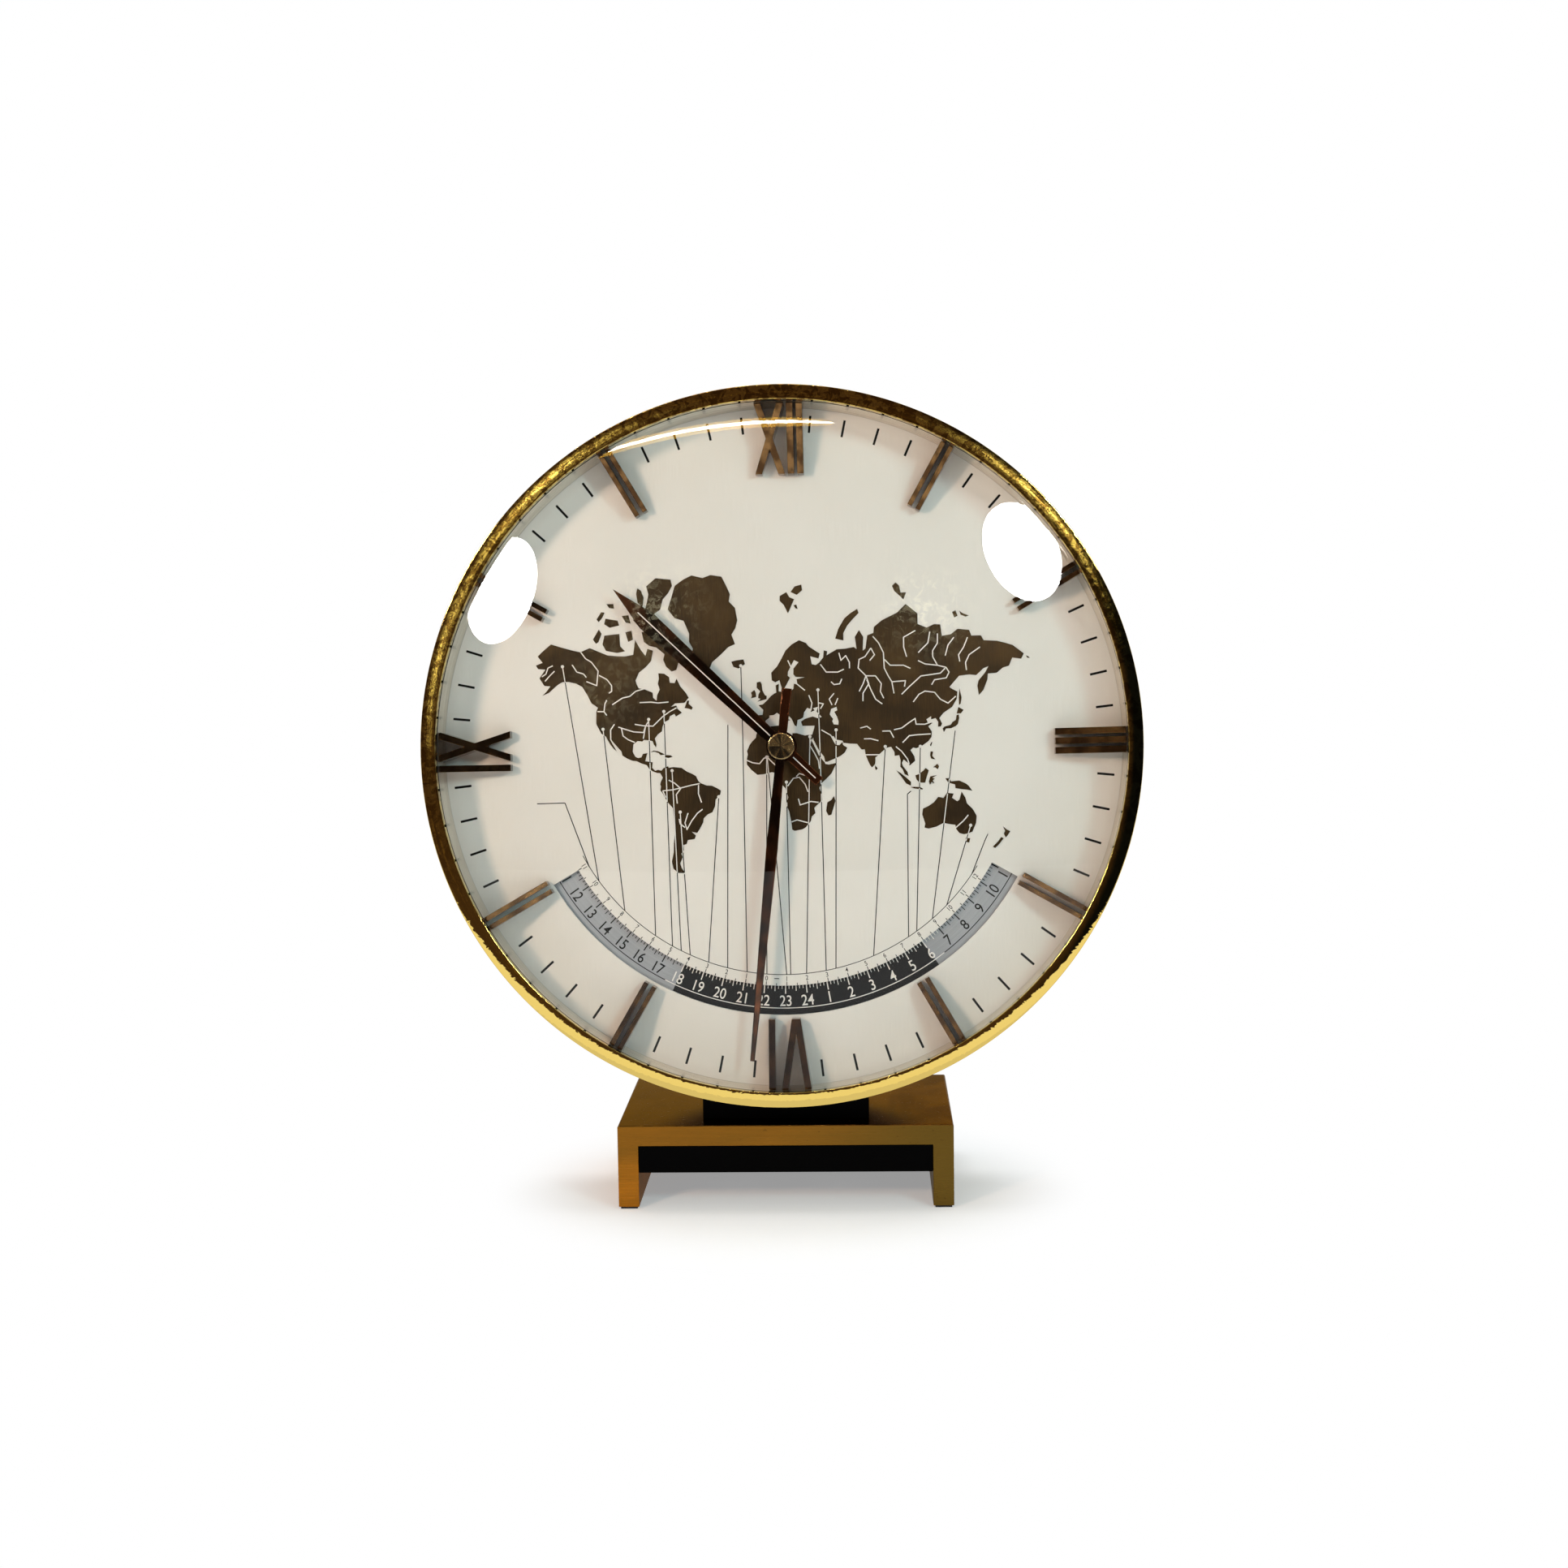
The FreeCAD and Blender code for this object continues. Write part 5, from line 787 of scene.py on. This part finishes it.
# Rivers of the map, each a run of picked points
riverPicks = {
    "left": (
        ((75, 605), (95, 590), (105, 560), (130, 548)), ((140, 575), (115, 600), (90, 628)),
        ((230, 543), (255, 580), (290, 590), (305, 608)),
        ((275, 478), (300, 510), (330, 530), (365, 575), (358, 650), (305, 630)),
        ((370, 597), (410, 618), (435, 650), (435, 680), (420, 690)),
        ((362, 785), (395, 785), (400, 745), (410, 725)), ((395, 785), (410, 805)),
        ((438, 750), (490, 715), (530, 705), (560, 680), (610, 665)),
        ((580, 738), (640, 735), (675, 740), (730, 735)), ((450, 850), (430, 880), (430, 930), (470, 995)),
        ((470, 865), (510, 878), (550, 890), (600, 893), (610, 860), (625, 835)),
        ((485, 868), (495, 910), (520, 930), (555, 945)),
        ((555, 850), (600, 858), (650, 860), (700, 810), (735, 785), (770, 765)), ((610, 860), (600, 925)),
        ((730, 1140), (760, 1155), (790, 1180), (850, 1165), (890, 1158)),
        ((700, 1195), (750, 1190), (790, 1180)), ((700, 1195), (715, 1230)),
        ((795, 1180), (770, 1215), (775, 1260)), ((885, 1165), (885, 1210), (900, 1255)),
        ((830, 1310), (815, 1360), (825, 1395), (850, 1350), (880, 1310), (905, 1290)),
        ((785, 1340), (790, 1365), (815, 1385)),
        ((1130, 1035), (1165, 1050), (1200, 1055), (1225, 1025), (1245, 1025), (1290, 1070)),
    ),
    "right": (
        ((340, 540), (370, 580), (430, 580), (460, 565)),
        ((435, 480), (445, 520), (470, 495), (490, 530), (490, 560)),
        ((395, 630), (410, 645), (440, 640), (450, 615)),
        ((600, 455), (570, 500), (540, 515), (535, 560), (575, 600)), ((575, 600), (560, 640), (540, 680)),
        ((575, 600), (590, 640), (560, 690), (560, 730)), ((580, 620), (600, 670), (625, 720), (660, 745)),
        ((575, 600), (625, 600), (655, 640), (650, 680), (668, 715)), ((600, 455), (620, 490), (595, 520)),
        ((610, 395), (640, 430), (665, 480), (670, 560), (690, 600), (710, 630), (720, 690)),
        ((670, 515), (700, 545), (770, 545), (805, 560)), ((710, 630), (780, 625), (775, 655)),
        ((830, 365), (770, 400), (770, 450), (785, 500)), ((905, 370), (895, 430), (865, 460), (845, 480)),
        ((945, 380), (945, 430), (920, 470), (920, 500), (945, 545), (990, 555), (1005, 580), (990, 610),
          (930, 620), (915, 645)), ((845, 520), (880, 538), (945, 545)),
        ((985, 560), (960, 585), (860, 600), (800, 655), (760, 695)), ((1030, 400), (1000, 440), (985, 495)),
        ((1100, 400), (1080, 450), (1055, 490), (1060, 525)),
        ((1165, 450), (1110, 490), (1090, 530), (1095, 570)),
        ((820, 735), (850, 695), (880, 678), (930, 685), (960, 720), (1000, 740), (1040, 705)),
        ((720, 878), (760, 870), (800, 840), (830, 820), (835, 850), (880, 850), (910, 840)),
        ((765, 945), (800, 910), (840, 905), (910, 900)), ((660, 885), (700, 885), (720, 920)),
        ((565, 925), (600, 925), (640, 935)), ((170, 1170), (200, 1130), (230, 1125), (260, 1160), (275, 1200)),
        ((225, 1235), (235, 1268), (290, 1250), (330, 1255)), ((190, 1355), (220, 1345), (275, 1360)),
        ((215, 1120), (230, 1105), (280, 1120)),
        ((290, 930), (285, 960), (310, 1000), (330, 1040), (335, 1080)), ((570, 1008), (668, 1008)),
        ((400, 750), (385, 720), (410, 690)), ((430, 715), (415, 750)),
        ((730, 965), (760, 990), (790, 1030), (800, 1055)), ((1105, 1320), (1080, 1350), (1040, 1385)),
        ((345, 880), (390, 905), (415, 930)), ((170, 520), (190, 560), (185, 610), (215, 640), (260, 675)),
        ((280, 700), (295, 740), (290, 780)), ((330, 740), (355, 745), (340, 770)),
        ((545, 870), (580, 860), (600, 875)),
    ),
}
landLines, seaLines, placeDots = [], [], []
landFaces = nodes["world_map"].data
landPoints = np.empty(len(landFaces.vertices) * 3)
landFaces.vertices.foreach_get("co", landPoints)
landPoints = (landPoints.reshape(-1, 3) - dialCentre) / mm
landFlat = np.stack([landPoints @ rightWay, landPoints @ upWay], 1)
landTop = landPoints @ outWay
landFaces.calc_loop_triangles()
triangles = np.array([t.vertices for t in landFaces.loop_triangles])
triangles = landFlat[triangles[(landTop[triangles] > 0.15).all(1)]]


# A point is on land when it lies on the same side of all three edges of some triangle of the map
def onLand(points):
    angle = math.radians(printTurn)
    turned = np.stack([points[:, 0] * math.cos(angle) - points[:, 1] * math.sin(angle),
                       points[:, 0] * math.sin(angle) + points[:, 1] * math.cos(angle)], 1)
    signs = []
    for k in range(3):
        a, b = triangles[:, k], triangles[:, (k + 1) % 3]
        edge, reach = b - a, turned[:, None] - a
        signs.append(edge[:, 0] * reach[..., 1] - edge[:, 1] * reach[..., 0])
    signs = np.array(signs)
    return ((signs > 0).all(0) | (signs < 0).all(0)).any(1)


for crop, points, zone in zonePicks.values():
    places = picked(crop, points)
    corners = [np.array(p) for p in places] + [sixPlace(d["arc"], d["zero"] - d["zoneStep"] * zone)]
    for first, second in zip(corners[:-1], corners[1:]):
        run = np.linspace(first, second, 2 + int(np.linalg.norm(second - first) * 2))
        over = onLand(run)
        for a, b, dry in zip(run[:-1], run[1:], over[:-1]):
            (landLines if dry else seaLines).append(stroke(a, b, d["lineWidth"]))
    placeDots.append(dot(places[0], d["spot"]))
for river in [picked(crop, run) for crop, runs in riverPicks.items() for run in runs]:
    landLines += route(river, d["riverWidth"])
    placeDots += [dot(place, d["riverWidth"] / 2) for place in river[1:-1]]
prints("zone_lines", seaLines, inkHeights["dial"], "black", "case")
prints("land_lines", landLines + placeDots, inkHeights["map"], "white", "case")

inlayLook = {"runs": ((-17.0, -5.8), (5.8, 72.2)), "width": 0.4, "turn": -313.6}
inlay = [stroke((0, start), (0, end), inlayLook["width"]) for start, end in inlayLook["runs"]]
prints("hour_inlay", inlay, inkHeights["hand"], "white", "hour_group", inlayLook["turn"])

print("camera and light")


def makeCamera(look):
    side, top, forward = cameraWays(look)
    data = bpy.data.cameras.new("camera")
    data.lens, data.sensor_width, data.clip_start, data.clip_end = look["lens"], look["film"], 0.01, 100
    camera = bpy.data.objects.new("camera", data)
    scene.collection.objects.link(camera)
    turn = Matrix((side, top, -forward)).transposed()
    camera.matrix_world = Matrix.Translation(Vector(look["place"]) * mm) @ turn.to_4x4()
    scene.camera = camera


makeCamera(cameraLook)

# Lamps: place, point aimed at and size in millimetres; strength is the lamp's own brightness
lamps = {
    "left": {"place": (-490, -720, 400), "aim": (0, 0, 150), "size": (130, 130),
             "strength": 64, "colour": (1, 0.69, 0.48)},
    "right": {"place": (440, -640, 480), "aim": (0, 0, 150), "size": (150, 150),
              "strength": 25, "colour": (0.6, 0.97, 1)},
    "over": {"place": (0, 160, 1100), "aim": (0, 0, 0), "size": (700, 700),
             "strength": 5, "colour": (1, 1, 1)},
}


def makeLamp(name, look):
    data = bpy.data.lights.new(name, "AREA")
    data.shape, data.color = "ELLIPSE", look["colour"]
    data.size, data.size_y = (s * mm for s in look["size"])
    data.energy = look["strength"] * math.pi * math.pi / 4 * data.size * data.size_y
    lamp = bpy.data.objects.new(name, data)
    place, aim = Vector(look["place"]) * mm, Vector(look["aim"]) * mm
    lamp.location = place
    lamp.rotation_euler = (place - aim).to_track_quat("Z", "Y").to_euler()
    lamp.visible_glossy = lamp.visible_camera = False
    scene.collection.objects.link(lamp)


for name, look in lamps.items():
    makeLamp(name, look)


def stageMesh(name, points, faces, material):
    mesh = bpy.data.meshes.new(name)
    mesh.from_pydata([[c * mm for c in p] for p in points], [], faces)
    mesh.materials.append(material)
    made = bpy.data.objects.new(name, mesh)
    scene.collection.objects.link(made)
    return made


def mirrorOnly(made):
    made.visible_camera = made.visible_diffuse = made.visible_shadow = made.visible_transmission = False


# White for the rays that see it, a modest fill for the light that falls on things
def seenRays(web):
    path = web.make("ShaderNodeLightPath", {}, {})
    rays = [Flow(web, path.socket.node.outputs[n]) for n in (
        "Is Camera Ray", "Is Glossy Ray", "Is Transmission Ray")]
    total = rays[0] + rays[1] + rays[2]
    return total.op("MINIMUM", total, 1.0)


floorLook = {"paper": (0.86, 0.86, 0.86), "glow": 0.3, "fade": (0.062, 0.115), "reach": 20000}


# Paper near the object, so that its shadow shows, and plain white further off
def floorMaterial():
    web = newWeb("floor")
    seen = seenRays(web)
    spot = web.make("ShaderNodeTexCoord", {}, {}, 3)
    away = web.make("ShaderNodeVectorMath", {"operation": "LENGTH"}, {0: spot}, 1)
    far = web.ramp(away, *floorLook["fade"])
    paper = web.make("ShaderNodeBsdfDiffuse", {}, {"Color": floorLook["paper"]})
    glow = web.make("ShaderNodeEmission", {}, {"Color": (1, 1, 1), "Strength": seen * floorLook["glow"]})
    near = web.make("ShaderNodeAddShader", {}, {0: paper, 1: glow})
    white = web.make("ShaderNodeEmission", {}, {"Color": (1, 1, 1), "Strength": 1.0})
    both = web.make("ShaderNodeMixShader", {}, {0: far * seen, 1: near, 2: white})
    web.make("ShaderNodeOutputMaterial", {}, {"Surface": both})
    return web.owner


far = floorLook["reach"]
stageMesh("floor", [(-far, -far, 0), (far, -far, 0), (far, far, 0), (-far, far, 0)], [(0, 1, 2, 3)],
          floorMaterial())

roomLook = {
    "plane": -735, "foot": 90, "reach": 3000, "dark": (0.068, 0.039, 0.026), "warm": (0.14, 0.086, 0.04),
    "right": (0.005, 0.006, 0.01), "low": (0.98, 0.97, 0.92), "lowGlow": 1.25, "glint": (1, 0.93, 0.6),
    "glints": ((-195, 425, 6, 52), (-255, 320, 3, 48), (165, 425, 6, 50)),
}


# The dark room behind the camera, which only polished things see: each glint is x, z, power and size
def roomMaterial():
    web = newWeb("room")
    spot = web.place()
    blotch = web.noise(spot, 0.04, 4, 0.65, 0.6)
    broken = web.ramp(web.noise(spot, 0.1, 4, 0.7, 0.8), 0.48, 0.6, 0.05, 1)
    across, height = web.part(spot, 0), web.part(spot, 2)
    colour = web.mix(web.ramp(blotch, 0.5, 0.7), roomLook["dark"], roomLook["warm"])
    colour = web.mix(web.ramp(across, 60, 200), colour, roomLook["right"])
    strength = 0
    for x, z, power, size in roomLook["glints"]:
        away = ((across - x) ** 2 + (height - z) ** 2) / (size * size)
        strength = strength + web.make("ShaderNodeMath", {"operation": "EXPONENT"}, {0: away * -1}) * power
    glow = web.make("ShaderNodeEmission", {}, {"Color": colour, "Strength": 1.0})
    warm = web.make("ShaderNodeEmission", {}, {"Color": roomLook["glint"], "Strength": strength * broken})
    both = web.make("ShaderNodeAddShader", {}, {0: glow, 1: warm})
    web.make("ShaderNodeOutputMaterial", {}, {"Surface": both})
    return web.owner


def glowMaterial(name, colour, strength):
    web = newWeb(name)
    glow = web.make("ShaderNodeEmission", {}, {"Color": colour, "Strength": strength})
    web.make("ShaderNodeOutputMaterial", {}, {"Surface": glow})
    return web.owner


def panel(name, low, high, material):
    reach, plane = roomLook["reach"], roomLook["plane"]
    corners = [(-reach, plane, low), (reach, plane, low), (reach, plane, high), (-reach, plane, high)]
    mirrorOnly(stageMesh(name, corners, [(0, 1, 2, 3)], material))


panel("room", roomLook["foot"], roomLook["reach"], roomMaterial())
panel("low_glow", 0.5, roomLook["foot"], glowMaterial("low_glow", roomLook["low"], roomLook["lowGlow"]))

# White ovals that show in the dome: centre, half width, half height and tilt from upright
ovals = {
    "left_oval": {"centre": (-393.5, 457.1), "half": (49.8, 74.9), "tilt": 9.9},
    "right_oval": {"centre": (291.1, 495.7), "half": (51.5, 70.5), "tilt": -16},
}
ovalLook = {"plane": -700, "colour": (1, 1, 1), "strength": 95.0}
ovalGlow = glowMaterial("oval", ovalLook["colour"], ovalLook["strength"])
for name, look in ovals.items():
    turns, tilt = np.linspace(0, 2 * np.pi, 72, endpoint=False), math.radians(look["tilt"])
    wide, tall = look["half"][0] * np.cos(turns), look["half"][1] * np.sin(turns)
    x = look["centre"][0] + wide * math.cos(tilt) + tall * math.sin(tilt)
    z = look["centre"][1] - wide * math.sin(tilt) + tall * math.cos(tilt)
    points = np.stack([x, ovalLook["plane"] + 0 * x, z], 1).tolist()
    mirrorOnly(stageMesh(name, points, [tuple(range(72))], ovalGlow))

# The bright line in the dome: strips along a parabola through three points, a white one on a warm one,
# each with its half width, plane, colour and strength
stripLook = {"points": ((-304.9, 634.3), (-126.3, 675.7), (48.4, 678.9)),
             "warm": (7.5, -700, (1, 0.55, 0.06), 17.0),
             "white": (2.4, -699, (1, 0.96, 0.84), 150.0)}
bend = np.polyfit(*zip(*stripLook["points"]), 2)
xs = np.linspace(stripLook["points"][0][0], stripLook["points"][2][0], 60)
for name in ("warm", "white"):
    half, plane, colour, strength = stripLook[name]
    half = half * np.sqrt(np.clip(1 - np.linspace(-1, 1, 60) ** 6, 0.02, 1))
    zs = np.concatenate([np.polyval(bend, xs) - half, np.polyval(bend, xs) + half])
    points = np.stack([np.tile(xs, 2), plane + 0 * zs, zs], 1).tolist()
    faces = [(i, i + 1, i + 61, i + 60) for i in range(59)]
    mirrorOnly(stageMesh(name + "_strip", points, faces, glowMaterial(name + "_strip", colour, strength)))

worldLook = {"fill": (0.92, 0.97, 1), "strength": 0.36}
world = bpy.data.worlds.new("surroundings")
scene.world = world
web = Web(world)
fill = web.make("ShaderNodeBackground", {}, {"Color": worldLook["fill"], "Strength": worldLook["strength"]})
shown = web.make("ShaderNodeBackground", {}, {"Color": (1, 1, 1), "Strength": 1.0})
both = web.make("ShaderNodeMixShader", {}, {0: seenRays(web), 1: fill, 2: shown})
web.make("ShaderNodeOutputWorld", {}, {"Surface": both})

scene.view_settings.view_transform = "Standard"

print("done")
